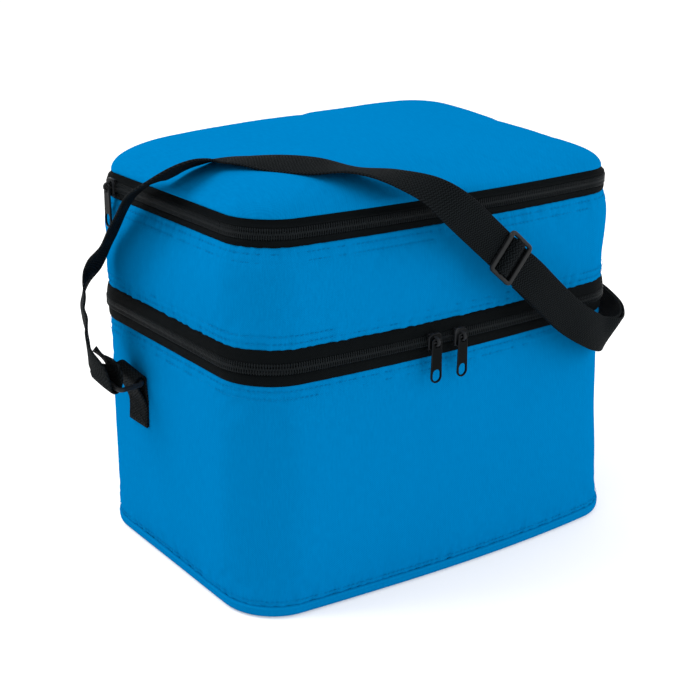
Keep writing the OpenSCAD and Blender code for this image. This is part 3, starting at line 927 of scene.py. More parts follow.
def zip_tapes(seam):
    """The two tapes of a zip. The lower one is a flat band; the upper one ends in a rolled lip over the
    coil."""
    low, high = seam.low, seam.high
    middle = (low + high) / 2
    reach = (high - low) / 2
    back = 1.6

    def face(z):
        return tape_face(seam, z)

    def relief(k, z):
        return 0.12 * wavy(AROUND[k], z * 0.3, 7.0, low)

    below = [
        (face(low) + 0.9, low - 0.2),
        (face(low) + 0.1, low + 0.3),
        (face(low) - 0.35, low + 1.4),
        (face(low) - 0.55, low + 0.38 * reach),
        (face(low) - 0.45, low + 0.62 * reach),
        (face(middle) + 0.15, middle - 3.6),
        (face(middle) + 0.35, middle - 3.0),
        (face(middle) + 0.35, middle - 0.9),
        (face(middle) + back, middle - 0.9),
        (face(low) + back, low),
    ]
    above = [
        (face(middle) + 0.35, middle + 0.9),
        (face(middle) + 0.35, middle + 2.9),
        (face(middle) - 0.2, middle + 3.15),
        (face(middle) - 0.95, middle + 3.3),
        (face(middle) - 1.25, middle + 3.8),
        (face(middle) - 1.2, middle + 4.4),
        (face(high) - 0.75, middle + 0.66 * reach),
        (face(high) - 0.3, high - 1.6),
        (face(high) + 0.2, high - 0.3),
        (face(high) + 0.9, high + 0.2),
        (face(high) + back, high),
        (face(middle) + back, middle + 0.9),
    ]
    for side, profile, body in (("below", below, seam.below), ("above", above, seam.above)):
        title = f"{seam.name}_zip_band_{side}"
        mesh = mesh_of(title, *swept(profile, ZIP_SPAN, closed=True, relief=relief))
        piece(title, mesh, TAPE, body, [f"{seam.name}_zip_tape_{side}"], smooth_levels=1)


TOOTH_PITCH = 1.5


def at_distance(s, inset):
    """Point, direction along the plan and outward direction at distance s, at an inset."""
    loop, directions = closed_up(outline(inset)), closed_up(OUTWARD)
    s = np.asarray(s) % AROUND[-1]
    xy = np.column_stack([np.interp(s, AROUND, loop[:, i]) for i in (0, 1)])
    out = units(np.column_stack([np.interp(s, AROUND, directions[:, i]) for i in (0, 1)]))
    along = np.column_stack([-out[:, 1], out[:, 0]])
    return xy, along, out


def repeated(template, faces, s, inset, z):
    """Copies of a small shape set round the plan. The template's axes are along, outward and up."""
    xy, along, out = at_distance(s, inset)
    flat = template[None, :, 0, None] * along[:, None, :] + template[None, :, 1, None] * out[:, None, :]
    points = np.zeros((len(xy), len(template), 3))
    points[:, :, :2] = xy[:, None, :] + flat
    points[:, :, 2] = z + template[None, :, 2]
    count = len(template)
    every = [tuple(i + n * count for i in face) for n in range(len(xy)) for face in faces]
    corners = sum(len(face) for face in every)
    return points.reshape(-1, 3), every, np.zeros((corners, 2))


def angles_round(sides):
    return [2 * math.pi * n / sides for n in range(sides)]


def bar_shape(rings, sides):
    """A closed bar: rings are (along, outward, up, half length, half depth) in cross-section order."""
    points = [
        (along + half_a * math.cos(angle), out + half_o * math.sin(angle), up)
        for along, out, up, half_a, half_o in rings
        for angle in angles_round(sides)
    ]
    return np.array(points), tube_faces(len(rings), sides)


def coil_tooth(sign):
    """One turn of coil: a bar across the zip with a rounded head that reaches past the middle. sign is 1
    for the half above."""
    rings = [
        (0.0, 0.30, 3.5, 0.20, 0.25),
        (0.0, 0.55, 3.3, 0.36, 0.55),
        (0.0, 0.85, 2.6, 0.42, 0.72),
        (0.0, 0.95, 1.2, 0.42, 0.74),
        (0.0, 0.95, 0.0, 0.44, 0.72),
        (0.0, 0.90, -0.55, 0.36, 0.62),
        (0.0, 0.85, -0.85, 0.18, 0.35),
    ]
    points, faces = bar_shape(rings, 6)
    points[:, 2] *= sign
    if sign < 0:
        faces = [face[::-1] for face in faces]
    return points, faces


def zip_coils(seam):
    """The two halves of the coil, whose turns stand between each other, with their sewing lines."""
    middle, face = (seam.low + seam.high) / 2, seam.coil_face
    end_gap = 3
    places = np.arange(AROUND[ZIP_SPAN[0]] + end_gap, AROUND[ZIP_SPAN[-1]] - end_gap, TOOTH_PITCH)
    stitch = stitch_shape(1.0, 0.16)
    for side, sign, body in (("below", -1, seam.below), ("above", 1, seam.above)):
        shifted = places + TOOTH_PITCH / 2 if sign > 0 else places
        turns = repeated(*coil_tooth(sign), shifted, face, middle)
        core_profile = [
            (face + 0.3, middle + sign * 1.1 - 0.1),
            (face - 0.45, middle + sign * 1.1 - 0.1),
            (face - 0.45, middle + sign * 2.9 + 0.1),
            (face + 0.3, middle + sign * 2.9 + 0.1),
        ]
        core = swept(core_profile[::sign], ZIP_SPAN, closed=True)
        sewn = repeated(*stitch, shifted, face - 1.62, middle + sign * 2.2)
        title = f"{seam.name}_zip_teeth_{side}"
        mesh = mesh_of(title, *joined([turns, core, sewn]))
        piece(title, mesh, COIL, body, [f"{seam.name}_zip_coil_{side}"])


def hinge_cloth(seam):
    """The strip of tape cloth across the back, where a compartment or the lid tips back."""
    name, low, high = f"{seam.name}_hinge_cloth", seam.low, seam.high

    def outer_face(z):
        return tape_face(seam, z) - 0.4 * math.sin(math.pi * (z - low) / (high - low))

    outside = [(outer_face(z), z) for z in heights(low, high, 1.5)]
    inside = [(tape_face(seam, z) + 1.3, z) for z in heights(high, low, 3.0)]
    band = swept(outside + inside, HINGE_SPAN, closed=True)
    obj = piece(name, mesh_of(name, *band), TAPE, None, [f"{seam.name}_hinge_strip"])
    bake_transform(obj)


# ---- Stitching ----------------------------------------------------------------------------------
def stitch_shape(length, radius):
    """One visible stitch, lying along: a small capsule."""
    rings = [(-0.5, 0.25), (-0.36, 0.85), (0.0, 1.0), (0.36, 0.85), (0.5, 0.25)]
    sides = 6
    points = [
        (share * length, radius * swelling * math.cos(angle), radius * swelling * math.sin(angle))
        for share, swelling in rings
        for angle in angles_round(sides)
    ]
    return np.array(points), [face[::-1] for face in tube_faces(len(rings), sides)]


STITCH_PITCH = 3.1


def stitch_rows(name, body, rows):
    """Rows of stitches round the bag. Each row is (height, inset of the fabric there)."""
    points, faces = stitch_shape(2.3, 0.2)
    places = np.arange(0.0, AROUND[-1], AROUND[-1] / round(AROUND[-1] / STITCH_PITCH))
    every, *rest = joined([repeated(points, faces, places, inset, z) for z, inset in rows])
    piece(name, mesh_of(name, settled(every), *rest), BLUE_THREAD, body)


# ---- Padding, lining and board ------------------------------------------------------------------
def pad_wall(name, low, high, lean, body, node):
    """A wall of foam with softened edges, squeezed behind the nipped-in seams."""
    outer, inner = FOAM_IN + 2.3, LINING_IN + 0.4
    soft = 1.2
    rising = heights(low + soft, high - soft, 6.0)
    profile = [(outer + soft, low)]
    profile += [(outer + lean(z), z) for z in rising]
    profile += [(outer + soft + lean(high), high), (inner - soft + lean(high), high)]
    profile += [(inner + lean(z), z) for z in rising[::-1]]
    profile += [(inner - soft, low)]
    obj = piece(name, mesh_of(name, *swept(profile, closed=True)), FOAM, body, [node])


def pad_floor(name, low, high, inset, material, body, node):
    """A flat pad or board across the plan, with rounded edges and a slightly uneven face."""
    soft = min(1.2, (high - low) / 3)

    def face(share, k, x, y):
        return high + 0.25 * noise.noise(Vector((x / 40.0, y / 40.0, low))) * (1 - share**8)

    edge = swept([(inset + soft, low), (inset, low + soft), (inset, high - soft), (inset + soft, high)])
    shares = [1.0, 0.94, 0.8, 0.6, 0.4, 0.2]
    top = disc(inset + soft, shares, face)
    under = disc(inset + soft, shares, lambda share, k, x, y: low, flip=True)
    return piece(name, mesh_of(name, *joined([edge, top, under])), material, body, [node])


def lining_sheet(name, floor, rim, lean, body, node, lip):
    """The lining: across the floor, up the walls and over the foam's top edge to the tape."""
    inset = LINING_IN + 0.7

    def relief(k, z):
        share = np.clip((z - floor) / (rim - floor), 0, 1)
        return -(0.9 * wavy(AROUND[k], z, 28.0, floor) + 0.5) * math.sin(math.pi * share) ** 0.5

    wall = [(inset + 9, floor + 0.4), (inset + 5, floor + 0.5)]
    wall += [(inset + 2.2, floor + 1.3), (inset + 0.8, floor + 3.2)]
    wall += [(inset + lean(z), z) for z in heights(floor + 7, rim - 2, 6.0)]
    over = inset + lean(rim)
    wall += [(over - 0.1, rim - 0.4), (over - 0.8, rim + 0.4), (over - 2.6, rim + 0.6), (lip, rim + 0.5)]
    sides_points, sides_faces, sides_uvs = swept(wall, relief=relief)
    sides_faces = [face[::-1] for face in sides_faces]
    sides_uvs = sides_uvs.reshape(-1, 4, 2)[:, ::-1].reshape(-1, 2)

    def ground_height(share, k, x, y):
        uneven = 0.5 * noise.noise(Vector((x / 30.0, y / 30.0, rim))) + 0.3
        return floor + 0.4 + uneven * (1 - share**4)

    ground = disc(inset + 9, [1, 0.94, 0.85, 0.7, 0.5, 0.3, 0.12], ground_height)
    mesh = mesh_of(name, *joined([(sides_points, sides_faces, sides_uvs), ground]))
    obj = piece(name, mesh, FOIL, body, [node])


def lid_inside(name, inset, depth, material, node, thickness):
    """The lid's foam or lining: a dome that lies the given depth under the lid's face."""
    shares = [1.0, 0.995, 0.985, 0.97, 0.95, 0.92, 0.88, 0.82, 0.74, 0.64, 0.5, 0.35, 0.2, 0.08]

    def height(share, k, x, y):
        uneven = 0.4 * noise.noise(Vector((x / 26.0, y / 26.0, depth)))
        return LID_Z + dome(share) * (crown_at(x, y) - depth) - 0.2 + uneven * (1 - share**6)

    mesh = mesh_of(name, *disc(inset, shares, height))
    obj = piece(name, mesh, material, "lid", [node])
    thicken(obj, thickness)
    return obj


# ---- Webbing ------------------------------------------------------------------------------------
def unit(v):
    v = np.asarray(v, float)
    return v / np.linalg.norm(v)


def units(rows):
    return rows / np.linalg.norm(rows, axis=1)[:, None]


def square_to(rows, runs):
    """Unit rows, each with its part along a run taken out."""
    return units(rows - runs * np.sum(rows * runs, axis=1)[:, None])


RING_BAR_DIR = unit((-0.1, 0.97, 0.2))
RING_REACH_DIR = unit(np.cross(np.cross(RING_BAR_DIR, (-1, 0, 0)), RING_BAR_DIR))
RING_NORMAL = np.cross(RING_BAR_DIR, RING_REACH_DIR)
TAB_BAR = np.array([-HALF_W - 7.0, TAB_Y, 119.0])
STRAP_BAR = TAB_BAR + RING_REACH_DIR * (RING_H - RING_BAR)
WRAP_R = RING_BAR * math.sqrt(2) / 2 + 0.5 + WEB_T / 2


def wrap(bar, angles):
    """Stations of webbing round one of the left ring's bars, from the reach direction (0 degrees)
    towards the ring's normal (90)."""
    turned = [RING_REACH_DIR * math.cos(a) + RING_NORMAL * math.sin(a) for a in np.radians(angles)]
    return [(bar + direction * WRAP_R, RING_BAR_DIR) for direction in turned]


HALF_TURN = np.array([-1.0, -1.0, 1.0])


def turned_to_right(points):
    """Points on the left side turned half round to the right."""
    return np.asarray(points, float) * HALF_TURN + (0.0, 2 * TAB_Y, 0.0)


def hermite(values, knots, wanted):
    """A smooth curve through values at uneven knots."""
    values = np.asarray(values, float)
    gaps = np.diff(knots)[:, None]
    slopes = np.diff(values, axis=0) / gaps
    tangents = np.vstack([
        slopes[:1],
        (slopes[:-1] * gaps[1:] + slopes[1:] * gaps[:-1]) / (gaps[1:] + gaps[:-1]),
        slopes[-1:],
    ])
    i = np.clip(np.searchsorted(knots, wanted, side="right") - 1, 0, len(knots) - 2)
    h = gaps[i]
    t = ((wanted - knots[i])[:, None]) / h
    return (
        (2 * t**3 - 3 * t**2 + 1) * values[i]
        + (t**3 - 2 * t**2 + t) * h * tangents[i]
        + (3 * t**2 - 2 * t**3) * values[i + 1]
        + (t**3 - t**2) * h * tangents[i + 1]
    )


def webbing(stations, width, thickness, step=2.0, cup=0.0):
    """A woven ribbon along stations of (centre, width direction), with rounded edges and UVs that run
    along and across it."""
    centres = np.array([centre for centre, _ in stations], float)
    knots = lengths_along(centres)
    across = np.array([unit(direction) for _, direction in stations])
    across = square_to(across, units(np.gradient(centres, axis=0)))
    wanted = np.linspace(0.0, knots[-1], round(knots[-1] / step) + 1)
    path = hermite(centres, knots, wanted)
    run = units(np.gradient(path, axis=0))
    side = square_to(hermite(across, knots, wanted), run)
    face = np.cross(run, side)
    half, thin = width / 2, thickness / 2
    section = [(share * (half - 0.5), -thin) for share in np.linspace(-1, 1, 7)]
    section += [(half - 0.12, -thin * 0.6), (half, 0.0), (half - 0.12, thin * 0.6)]
    section += [(share * (half - 0.5), thin) for share in np.linspace(1, -1, 7)]
    section += [(-half + 0.12, thin * 0.6), (-half, 0.0), (-half + 0.12, -thin * 0.6)]
    section = np.array(section)
    count = len(section)
    bowing = cup * (1 - (section[:, 0] / half) ** 2)
    points = (
        path[:, None, :]
        + side[:, None, :] * section[None, :, 0, None]
        + face[:, None, :] * (section[None, :, 1, None] + bowing[None, :, None])
    )
    faces = tube_faces(len(path), count)
    corners = np.concatenate(faces)
    uvs = np.column_stack([wanted[corners // count], section[corners % count, 0] + half]) * MM
    return points.reshape(-1, 3), faces, uvs


STRAP_ROUTE = [
    ((-171, 29, 126), (-1, 9, 2)),
    ((-173, 34, 133), (2, 8, -2)),
    ((-171, 41, 141), (4, 7, -5)),
    ((-168, 47, 148), (3, 7, -6)),
    ((-167, 53, 154), (3, 7, -6)),
    ((-165, 57, 162), (3, 9, -4)),
    ((-162, 59, 170), (5, 8, -2)),
    ((-158, 57, 179), (8, 6, -1)),
    ((-156, 51, 190), (9, 5, 1)),
    ((-154, 38, 204), (8, 5, 3)),
    ((-153, 30, 215), (8, 6, 2)),
    ((-152, 21, 225), (8, 6, 2)),
    ((-150, 12, 234), (8, 5, 1)),
    ((-146, -6, 244), (8, 5, -1)),
    ((-136, -12, 250), (5, 8, -4)),
    ((-123, -14, 253), (4, 8, -3)),
    ((-112, -19, 254), (8, 6, -1)),
    ((-104, -31, 255), (9, 5, 0)),
    ((-94, -47, 255), (8, 6, 2)),
    ((-81, -66, 255), (8, 6, 2)),
    ((-66, -83, 254), (8, 6, -1)),
    ((-50, -99, 251), (9, 5, 1)),
    ((-37, -113, 245), (9, 3, 3)),
    ((-24, -118.5, 235), (8, 1, 5)),
]
SLIDE_AT = np.array([18.0, -121.0, 200.0])
SLIDE_RUN = unit((33, 0, -28))
SLIDE_ACROSS = unit((28, 0, 33))
OUT = np.array([0.0, -1.0, 0.0])
STRAP_ROUTE_RIGHT = [
    ((55, -120, 168), (7, 0, 8)),
    ((74, -118, 153), (6, 0, 8)),
    ((94, -116, 141), (5, 1, 9)),
    ((109, -112, 134), (5, 1, 9)),
    ((123, -107, 132), (5, -2, 8)),
    ((137, -95, 134), (3, -3, 8)),
    ((149, -77, 136), (1, -2, 9)),
    ((157, -54, 138), (1, -3, 9)),
    ((163, -34, 139), (1, -2, 9)),
    ((167, -13, 142), (0, 1, 9)),
    ((169, 7, 142), (0, 4, 8)),
    ((170, 21, 139), (0, 6, 6)),
    ((169, 31, 130), (-1, 9, -1)),
]
TURNED_END = [
    ((-169.2, 36.4, 137.5), (3, 7.5, -4)),
    ((-166, 33, 133), (2, 8, -1.5)),
    ((-162.5, 28.5, 127.5), (-1, 9, 2)),
]
SLIDE_BAR = 3.0
SLIDE_SIDE_BAR = 2.4
SLIDE_T = 2.4
SLIDE_LEN = 21.0
SLIDE_GAP = (SLIDE_LEN - 3 * SLIDE_BAR) / 2
BAR_PITCH = SLIDE_GAP + SLIDE_BAR
SLIDE_WINDOW_W = WOVEN_W
WEAVE = SLIDE_T / 2 + 0.4 + WEB_T / 2
RETURN_GAP = 2.4


def slide_station(s, out):
    """A station at distance s along the slide, and out from its middle plane."""
    return (SLIDE_AT + SLIDE_RUN * s + OUT * out, SLIDE_ACROSS)


def returned(stations):
    """The stations again from the last to the first, behind the webbing that they carry."""
    centres = np.array([centre for centre, _ in stations], float)
    across = np.array([direction for _, direction in stations], float)
    ahead = np.concatenate([centres[1:], centres[-1:]])
    behind = np.concatenate([centres[:1], centres[:-1]])
    runs = units(ahead - behind)
    moved = centres - np.cross(runs, square_to(across, runs)) * RETURN_GAP
    return list(zip(moved, across))[::-1]


def right_ring_stations():
    """Webbing half round the right ring, which is the left one turned half round."""
    left = wrap(STRAP_BAR, range(0, -181, -30))
    return [(turned_to_right(centre), direction * HALF_TURN) for centre, direction in left]


def strap_stations():
    """The whole strap: the turned-back left end, the ring, over the lid, behind the slide, round the
    right corner, the right ring, and back under itself to the slide."""
    past_slide = slide_station(BAR_PITCH + 8, -0.9)
    behind_slide = [slide_station(s, -WEAVE) for s in (-40, -24, -BAR_PITCH, 0, BAR_PITCH)]
    right_run = [past_slide] + STRAP_ROUTE_RIGHT
    return (
        TURNED_END
        + wrap(STRAP_BAR, range(180, 361, 30))
        + STRAP_ROUTE
        + behind_slide
        + right_run
        + right_ring_stations()
        + returned(right_run)
    )


def shoulder_strap():
    """The strap, in one piece along its stations, with its lower ends at the rings."""
    mesh = mesh_of("shoulder_webbing", *webbing(strap_stations(), WOVEN_W, WEB_T, cup=0.35))
    obj = piece("shoulder_webbing", mesh, WEBBING, None, ["shoulder_strap"])
    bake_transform(obj)


def slide_loop():
    """The end of the webbing, looped over the slide's middle bar."""
    half = SLIDE_BAR / 2
    falling = [(half + 0.9, WEAVE - 0.6), (half + 2.2, -0.4), (half + 3.2, -WEAVE + 0.9)]
    rising = [(-s, out) for s, out in reversed(falling)]
    stations = [slide_station(s, out) for s, out in rising + [(0, WEAVE)] + falling]
    mesh = mesh_of("slide_webbing_loop", *webbing(stations, WOVEN_W - 0.4, WEB_T, step=0.8))
    piece("slide_webbing_loop", mesh, WEBBING, "strap_slide")


TAB_GAP = 0.3


def tab_stations():
    """The left tab's webbing: up from its foot, round the ring's lower bar and down again outside."""
    level = np.array([0.0, 1.0, 0.0])
    leaning = unit(level * 2 + RING_BAR_DIR)
    foot, neck, turn, neck_out = 86.0, 107.0, 6.0, 1.2
    inner_x = -HALF_W - TAB_GAP - WEB_T / 2
    outer_x = inner_x - WEB_T - TAB_GAP
    rising = [
        ((inner_x, TAB_Y, foot), level),
        ((inner_x, TAB_Y, neck - turn), level),
        ((inner_x - neck_out, TAB_Y, neck), leaning),
    ]
    falling = [
        ((outer_x - 2 * neck_out, TAB_Y, neck), leaning),
        ((outer_x, TAB_Y, neck - turn), level),
        ((outer_x, TAB_Y, foot), level),
    ]
    return rising + wrap(TAB_BAR, range(170, -31, -25)) + falling


def tabs_and_rings():
    for side in ("left", "right"):
        points, faces, uvs = webbing(tab_stations(), WOVEN_W, WEB_T, step=1.5)
        loop = ring_path()
        if side == "right":
            points = turned_to_right(points)
            loop = turned_to_right(loop)
        mesh = mesh_of(f"tab_{side}", settled(points), faces, uvs)
        piece(f"tab_webbing_{side}", mesh, WEBBING, "lower_compartment", [f"strap_tab_{side}"])
        ring = tube_mesh(f"ring_{side}", loop, RING_BAR / 2 - 0.05, closed=True)
        piece(f"ring_{side}", ring, MOULDED, "lower_compartment", [f"strap_ring_{side}"])
        tab_stitches(side)


def ring_path():
    """The centre line of the left ring: a rectangle with round corners, through its bars."""
    half_b, half_r, r = (WEB_W + 1.2 + RING_BAR) / 2, (RING_H - RING_BAR) / 2, 3.2
    middle = (TAB_BAR + STRAP_BAR) / 2
    flat = rounded_corners(half_b, half_r, r, 6)
    return np.array([middle + RING_BAR_DIR * b + RING_REACH_DIR * a for b, a in flat])


def rounded_corners(half_w, half_h, r, steps):
    """Points round a rectangle with round corners, counter-clockwise."""
    points = []
    for sx, sy, first in ((1, 1, 0), (-1, 1, 90), (-1, -1, 180), (1, -1, 270)):
        for angle in np.radians(np.linspace(first, first + 90, steps)):
            across, up = r * math.cos(angle), r * math.sin(angle)
            points.append((sx * (half_w - r) + across, sy * (half_h - r) + up))
    return points


def add_line(curve, points, closed):
    """A spline of straight runs through points in millimetres."""
    spline = curve.splines.new("POLY")
    spline.points.add(len(points) - 1)
    for target, point in zip(spline.points, points):
        target.co = (*(np.asarray(point, float) * MM), 1.0)
    spline.use_cyclic_u = closed


def curve_mesh(curve):
    """The mesh of a curve datablock, which is then removed."""
    obj = bpy.data.objects.new("scratch", curve)
    bpy.context.scene.collection.objects.link(obj)
    bpy.context.view_layer.update()
    mesh = bpy.data.meshes.new_from_object(obj.evaluated_get(bpy.context.evaluated_depsgraph_get()))
    bpy.data.objects.remove(obj)
    bpy.data.curves.remove(curve)
    return mesh


def tube_mesh(name, points, radius, closed=False):
    """A round bar along points in millimetres."""
    curve = bpy.data.curves.new(name, "CURVE")
    curve.dimensions = "3D"
    curve.bevel_depth = radius * MM
    curve.bevel_resolution = 4
    curve.use_fill_caps = True
    add_line(curve, points, closed)
    mesh = curve_mesh(curve)
    mesh.shade_smooth()
    return mesh


def plate_mesh(outlines, thickness, edge):
    """A flat plate with rounded edges: the first outline is its outside and the others are holes. It lies
    in XY, centred on z = 0, in millimetres. The edge radius widens it, so the outlines allow for that."""
    curve = bpy.data.curves.new("plate", "CURVE")
    curve.dimensions = "2D"
    curve.fill_mode = "BOTH"
    curve.extrude = (thickness / 2 - edge) * MM
    curve.bevel_depth = edge * MM
    curve.bevel_resolution = 3
    for points in outlines:
        add_line(curve, [(x, y, 0.0) for x, y in points], closed=True)
    return curve_mesh(curve)


def set_in(mesh, origin, x_axis, y_axis, z_axis):
    """Moves a mesh so that its axes become the given directions at an origin in millimetres."""
    matrix = np.eye(4)
    matrix[:3] = np.column_stack([x_axis, y_axis, z_axis, np.asarray(origin, float) * MM])
    mesh.transform(Matrix(matrix.tolist()))
    return mesh


def merged(name, meshes):
    """Several meshes as one."""
    points, faces = [], []
    for mesh in meshes:
        start = len(points)
        points += [tuple(v.co) for v in mesh.vertices]
        faces += [tuple(i + start for i in polygon.vertices) for polygon in mesh.polygons]
    made = bpy.data.meshes.new(name)
    made.from_pydata(points, [], faces)
    made.validate()
    made.shade_smooth()
    return made


def strap_slide():
    """The slide: a flat frame with three bars, softly rounded."""
    edge = 0.8
    outer = rounded_corners(SLIDE_LEN / 2 - edge, SLIDE_WINDOW_W / 2 + SLIDE_SIDE_BAR - edge, 2.4, 6)
    hole = rounded_corners(SLIDE_GAP / 2 + edge, SLIDE_WINDOW_W / 2 + edge, 1.2, 4)
    windows = [[(x + sign * BAR_PITCH / 2, y) for x, y in hole] for sign in (-1, 1)]
    mesh = plate_mesh([outer] + windows, SLIDE_T, edge)
    set_in(mesh, SLIDE_AT, SLIDE_RUN, SLIDE_ACROSS, OUT)
    mesh.shade_smooth()
    piece("slide_frame", mesh, MOULDED, "strap_slide", ["strap_slide"], sharp=40)


def tab_stitches(side):
    """A sewn box with a cross on the tab's foot."""
    x = -HALF_W - 2 * (TAB_GAP + WEB_T)
    low, high, half = 88.0, 100.5, WEB_W / 2 - 2.5
    near, far = TAB_Y - half, TAB_Y + half
    corners = np.array([(x, near, low), (x, far, low), (x, far, high), (x, near, high)])
    pitch = 2.7
    template, faces = stitch_shape(2.0, 0.22)
    out = np.array([-1.0, 0.0, 0.0])
    points, every = [], []
    for first, last in ((0, 1), (1, 2), (2, 3), (3, 0), (0, 2), (1, 3)):
        line = corners[last] - corners[first]
        run = unit(line)
        up = np.cross(out, run)
        count = round(np.linalg.norm(line) / pitch)
        for n in range(count):
            middle = corners[first] + line * (n + 0.5) / count
            start = len(points) * len(template)
            points.append(middle + template @ np.array([run, out, up]))
            every += [tuple(i + start for i in face) for face in faces]
    points = np.concatenate(points)
    if side == "right":
        points = turned_to_right(points)
    mesh = mesh_of(f"tab_stitches_{side}", settled(points), every)
    piece(f"tab_stitches_{side}", mesh, BLACK_THREAD, "lower_compartment")


# ---- Sliders and pulls --------------------------------------------------------------------------
PLATE_CLEAR = 1.2
PLATE_T = 1.6
PIN_OUT = PLATE_CLEAR + PLATE_T + 1.6
PIN_Z = 0.6
PULL_LEN = 25.6
PULL_W = 7.8
PULL_TOP_W = 6.6
PULL_T = 1.3


def front_coil_y(x):
    """Where the outer face of the front's coil is."""
    return -(HALF_D + TAPE_PROUD + COIL_T + float(swell(np.array(x))))


def front_place(x, run_x):
    """Origin and direction along the zip of a slider on the front."""
    turn = math.atan((front_coil_y(run_x) - front_coil_y(x)) / (run_x - x))
    return np.array([x, front_coil_y(x), LOWER_ZIP_Z]), np.array([math.cos(turn), math.sin(turn), 0.0])


def slider_parts(lead):
    """A slider in its own frame, as (mesh, origin, x axis, y axis, z axis) parts: X along the zip, -Y out
    of the bag. lead is 1 or -1, the end that it opens the zip with."""
    edge = 0.45
    shape = [(-3.9, 3.1), (-2.4, 4.4), (0.6, 4.9), (3.0, 4.9), (3.9, 3.9)]
    rim = shape + [(x, -z) for x, z in reversed(shape)]
    rim = [(lead * x, z) for x, z in rim]
    front = plate_mesh([rim], PLATE_T, edge)
    back = plate_mesh([[(x * 0.95, z * 0.78) for x, z in rim]], 1.2, 0.3)
    flange = plate_mesh([rounded_corners(3.6, 0.5, 0.45, 4)], 2.0, 0.25)
    outward, up, along = (0, -1, 0), (0, 0, 1), (1, 0, 0)
    back_y = COIL_T + 1.8 + 0.3 + 0.6
    parts = [
        (front, (0, -PLATE_CLEAR - PLATE_T / 2, 0), along, up, outward),
        (back, (0, back_y, 0), along, up, outward),
    ]
    for sign in (-1, 1):
        parts.append((flange.copy(), (0, -PLATE_CLEAR + 0.5, sign * 4.6), along, up, outward))
    arch = [
        (0, -PLATE_CLEAR - 0.8, PIN_Z - 2.9),
        (0, -PLATE_CLEAR - PLATE_T - 0.5, PIN_Z - 2.7),
        (0, -PIN_OUT - 0.6, PIN_Z - 2.0),
        (0, -PIN_OUT - 1.7, PIN_Z - 0.8),
        (0, -PIN_OUT - 1.8, PIN_Z + 0.6),
        (0, -PIN_OUT - 1.1, PIN_Z + 1.7),
        (0, -PLATE_CLEAR - PLATE_T - 0.6, PIN_Z + 2.6),
        (0, -PLATE_CLEAR - 0.8, PIN_Z + 2.8),
    ]
    bridge = tube_mesh("bridge", arch, 0.72)
    bridge.transform(Matrix.Diagonal((1.6, 1.0, 1.0, 1.0)))
    parts.append((bridge, (0, 0, 0), along, (0, 1, 0), (0, 0, 1)))
    post = plate_mesh([rounded_corners(1.6, 0.42, 0.3, 3)], 6.0, 0.1)
    parts.append((post, (0, (back_y - PLATE_CLEAR) / 2, 0), along, up, outward))
    return parts


def pull_mesh():
    """A pull hanging from its pin at the origin: tapered, round-ended, with an eye and a window."""
    edge = 0.4
    end_z = -(PULL_LEN - 0.8 - PULL_W / 2)
    outer = [(-PULL_TOP_W / 2 + edge + 0.7, 1.9 - edge), (-PULL_TOP_W / 2 + edge, 1.2 - edge)]
    for angle in np.radians(np.linspace(186, 354, 15)):
        radius = PULL_W / 2 - edge
        outer.append((radius * math.cos(angle), end_z + radius * math.sin(angle)))
    outer += [(PULL_TOP_W / 2 - edge, 1.2 - edge), (PULL_TOP_W / 2 - edge - 0.7, 1.9 - edge)]
    window = rounded_corners(1.6 + edge, 1.25 + edge, 0.7, 4)
    window = [(x, z - 2.0) for x, z in window]
    eye = []
    for angle in np.radians(np.linspace(0, 348, 30)):
        stretch = 0.9 if math.sin(angle) > 0 else -0.9
        eye.append(((2.7 + edge) * math.cos(angle), end_z + 0.8 + (2.7 + edge) * math.sin(angle) + stretch))
    return plate_mesh([outer, window, eye], PULL_T, edge)


def slider_and_pull(slider, pull, origin, along, lead):
    """A slider at a place on its zip, and the pull that hangs from it."""
    up = (0.0, 0.0, 1.0)
    there = (origin, along, np.cross(up, along), up)
    meshes = [set_in(set_in(mesh, *own), *there) for mesh, *own in slider_parts(lead)]
    piece(f"{slider}_body", merged(slider, meshes), ENAMEL, slider, [slider], sharp=35)
    hanging = set_in(pull_mesh(), (0, -PIN_OUT, PIN_Z), (1, 0, 0), up, (0, -1, 0))
    pin = tube_mesh("pin", [(-2.4, -PIN_OUT, PIN_Z), (2.4, -PIN_OUT, PIN_Z)], 0.75)
    both = merged(pull, [set_in(mesh, *there) for mesh in (hanging, pin)])
    piece(f"{pull}_tag", both, ENAMEL, pull, [pull], sharp=35)


LEFT_SLIDER_X = -24.6
LEFT_RUN_X = -94.0
RIGHT_SLIDER_X = -5.6
RIGHT_RUN_X = 84.0
UPPER_SLIDER_Y = 60.5


def sliders_and_pulls():
    slider_and_pull("lower_slider_left", "lower_pull_left", *front_place(LEFT_SLIDER_X, LEFT_RUN_X), 1)
    slider_and_pull("lower_slider_right", "lower_pull_right", *front_place(RIGHT_SLIDER_X, RIGHT_RUN_X), -1)
    upper_place = (-(HALF_W - UPPER_ZIP_INSET + COIL_T), UPPER_SLIDER_Y, UPPER_ZIP_Z)
    slider_and_pull("upper_slider", "upper_pull", upper_place, (0.0, -1.0, 0.0), -1)


# ---- The bag ------------------------------------------------------------------------------------
base_shell()
lower_shell()
upper_shell()
lid_cover()

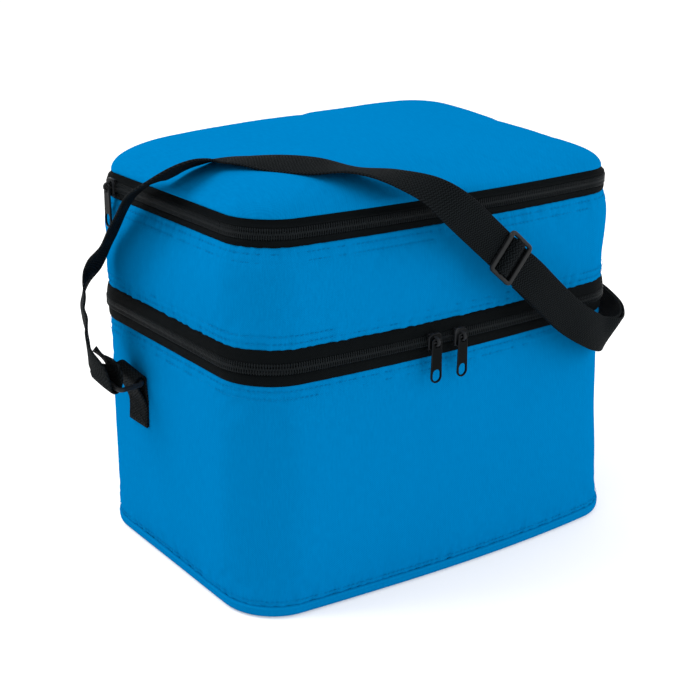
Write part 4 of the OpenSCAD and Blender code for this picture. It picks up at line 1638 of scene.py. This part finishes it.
for make in (zip_tapes, zip_coils, hinge_cloth):
    for seam in ZIPS:
        make(seam)

stitch_rows(
    "lower_stitches",
    "lower_compartment",
    [(LOWER_TAPE_Z - NEAR_ROW, 0.55), (LOWER_TAPE_Z - FAR_ROW, 0.2), (BASE_RIM_Z + NEAR_ROW, 0.5)],
)
stitch_rows(
    "upper_stitches",
    "upper_compartment",
    [
        (UPPER_WALL_Z + NEAR_ROW, 0.5),
        (UPPER_WALL_Z + FAR_ROW, 0.1),
        (UPPER_TAPE_Z - NEAR_ROW, 2.9),
        (UPPER_TAPE_Z - FAR_ROW, 1.7),
    ],
)

lower, upper = "lower_compartment", "upper_compartment"
upper_rim = UPPER_TAPE_Z - 1.0
cover_top = DIVIDER_Z + LINING_T
pad_wall("lower_foam", FOAM_Z, RIM_Z, upright, lower, "lower_wall_foam")
pad_wall("upper_foam", DIVIDER_Z, upper_rim, upper_lean, upper, "upper_wall_foam")
pad = pad_floor("base_pad", FOAM_Z, FLOOR_Z, LINING_IN, FOAM, lower, "base_foam")
pad_floor("base_stiffener", 1.0, FOAM_Z, 3.4, BOARD, lower, "base_board")
pad = pad_floor("divider_pad", cover_top, UPPER_FLOOR_Z, LINING_IN, FOAM, upper, "divider_foam")
cover = pad_floor("divider_lining", DIVIDER_Z, cover_top, LINING_IN, FOIL, upper, "divider_cover")
lining_sheet("lower_lining_sheet", FLOOR_Z, RIM_Z, upright, lower, "lower_lining", 1.9)
lining_sheet("upper_lining_sheet", UPPER_FLOOR_Z, upper_rim, upper_lean, upper, "upper_lining", 6.4)
lid_foam = lid_inside("lid_foam_pad", LID_INSET + 2.2, FABRIC_T + 2.6, FOAM, "lid_foam", FOAM_T - 2.4)
lid_lining_inset = UPPER_ZIP_INSET + LINING_IN + 0.6
lid_lining = lid_inside("lid_lining_sheet", lid_lining_inset, LINING_IN + 0.7, FOIL, "lid_lining", LINING_T)

shoulder_strap()
slide_loop()
strap_slide()
tabs_and_rings()
sliders_and_pulls()
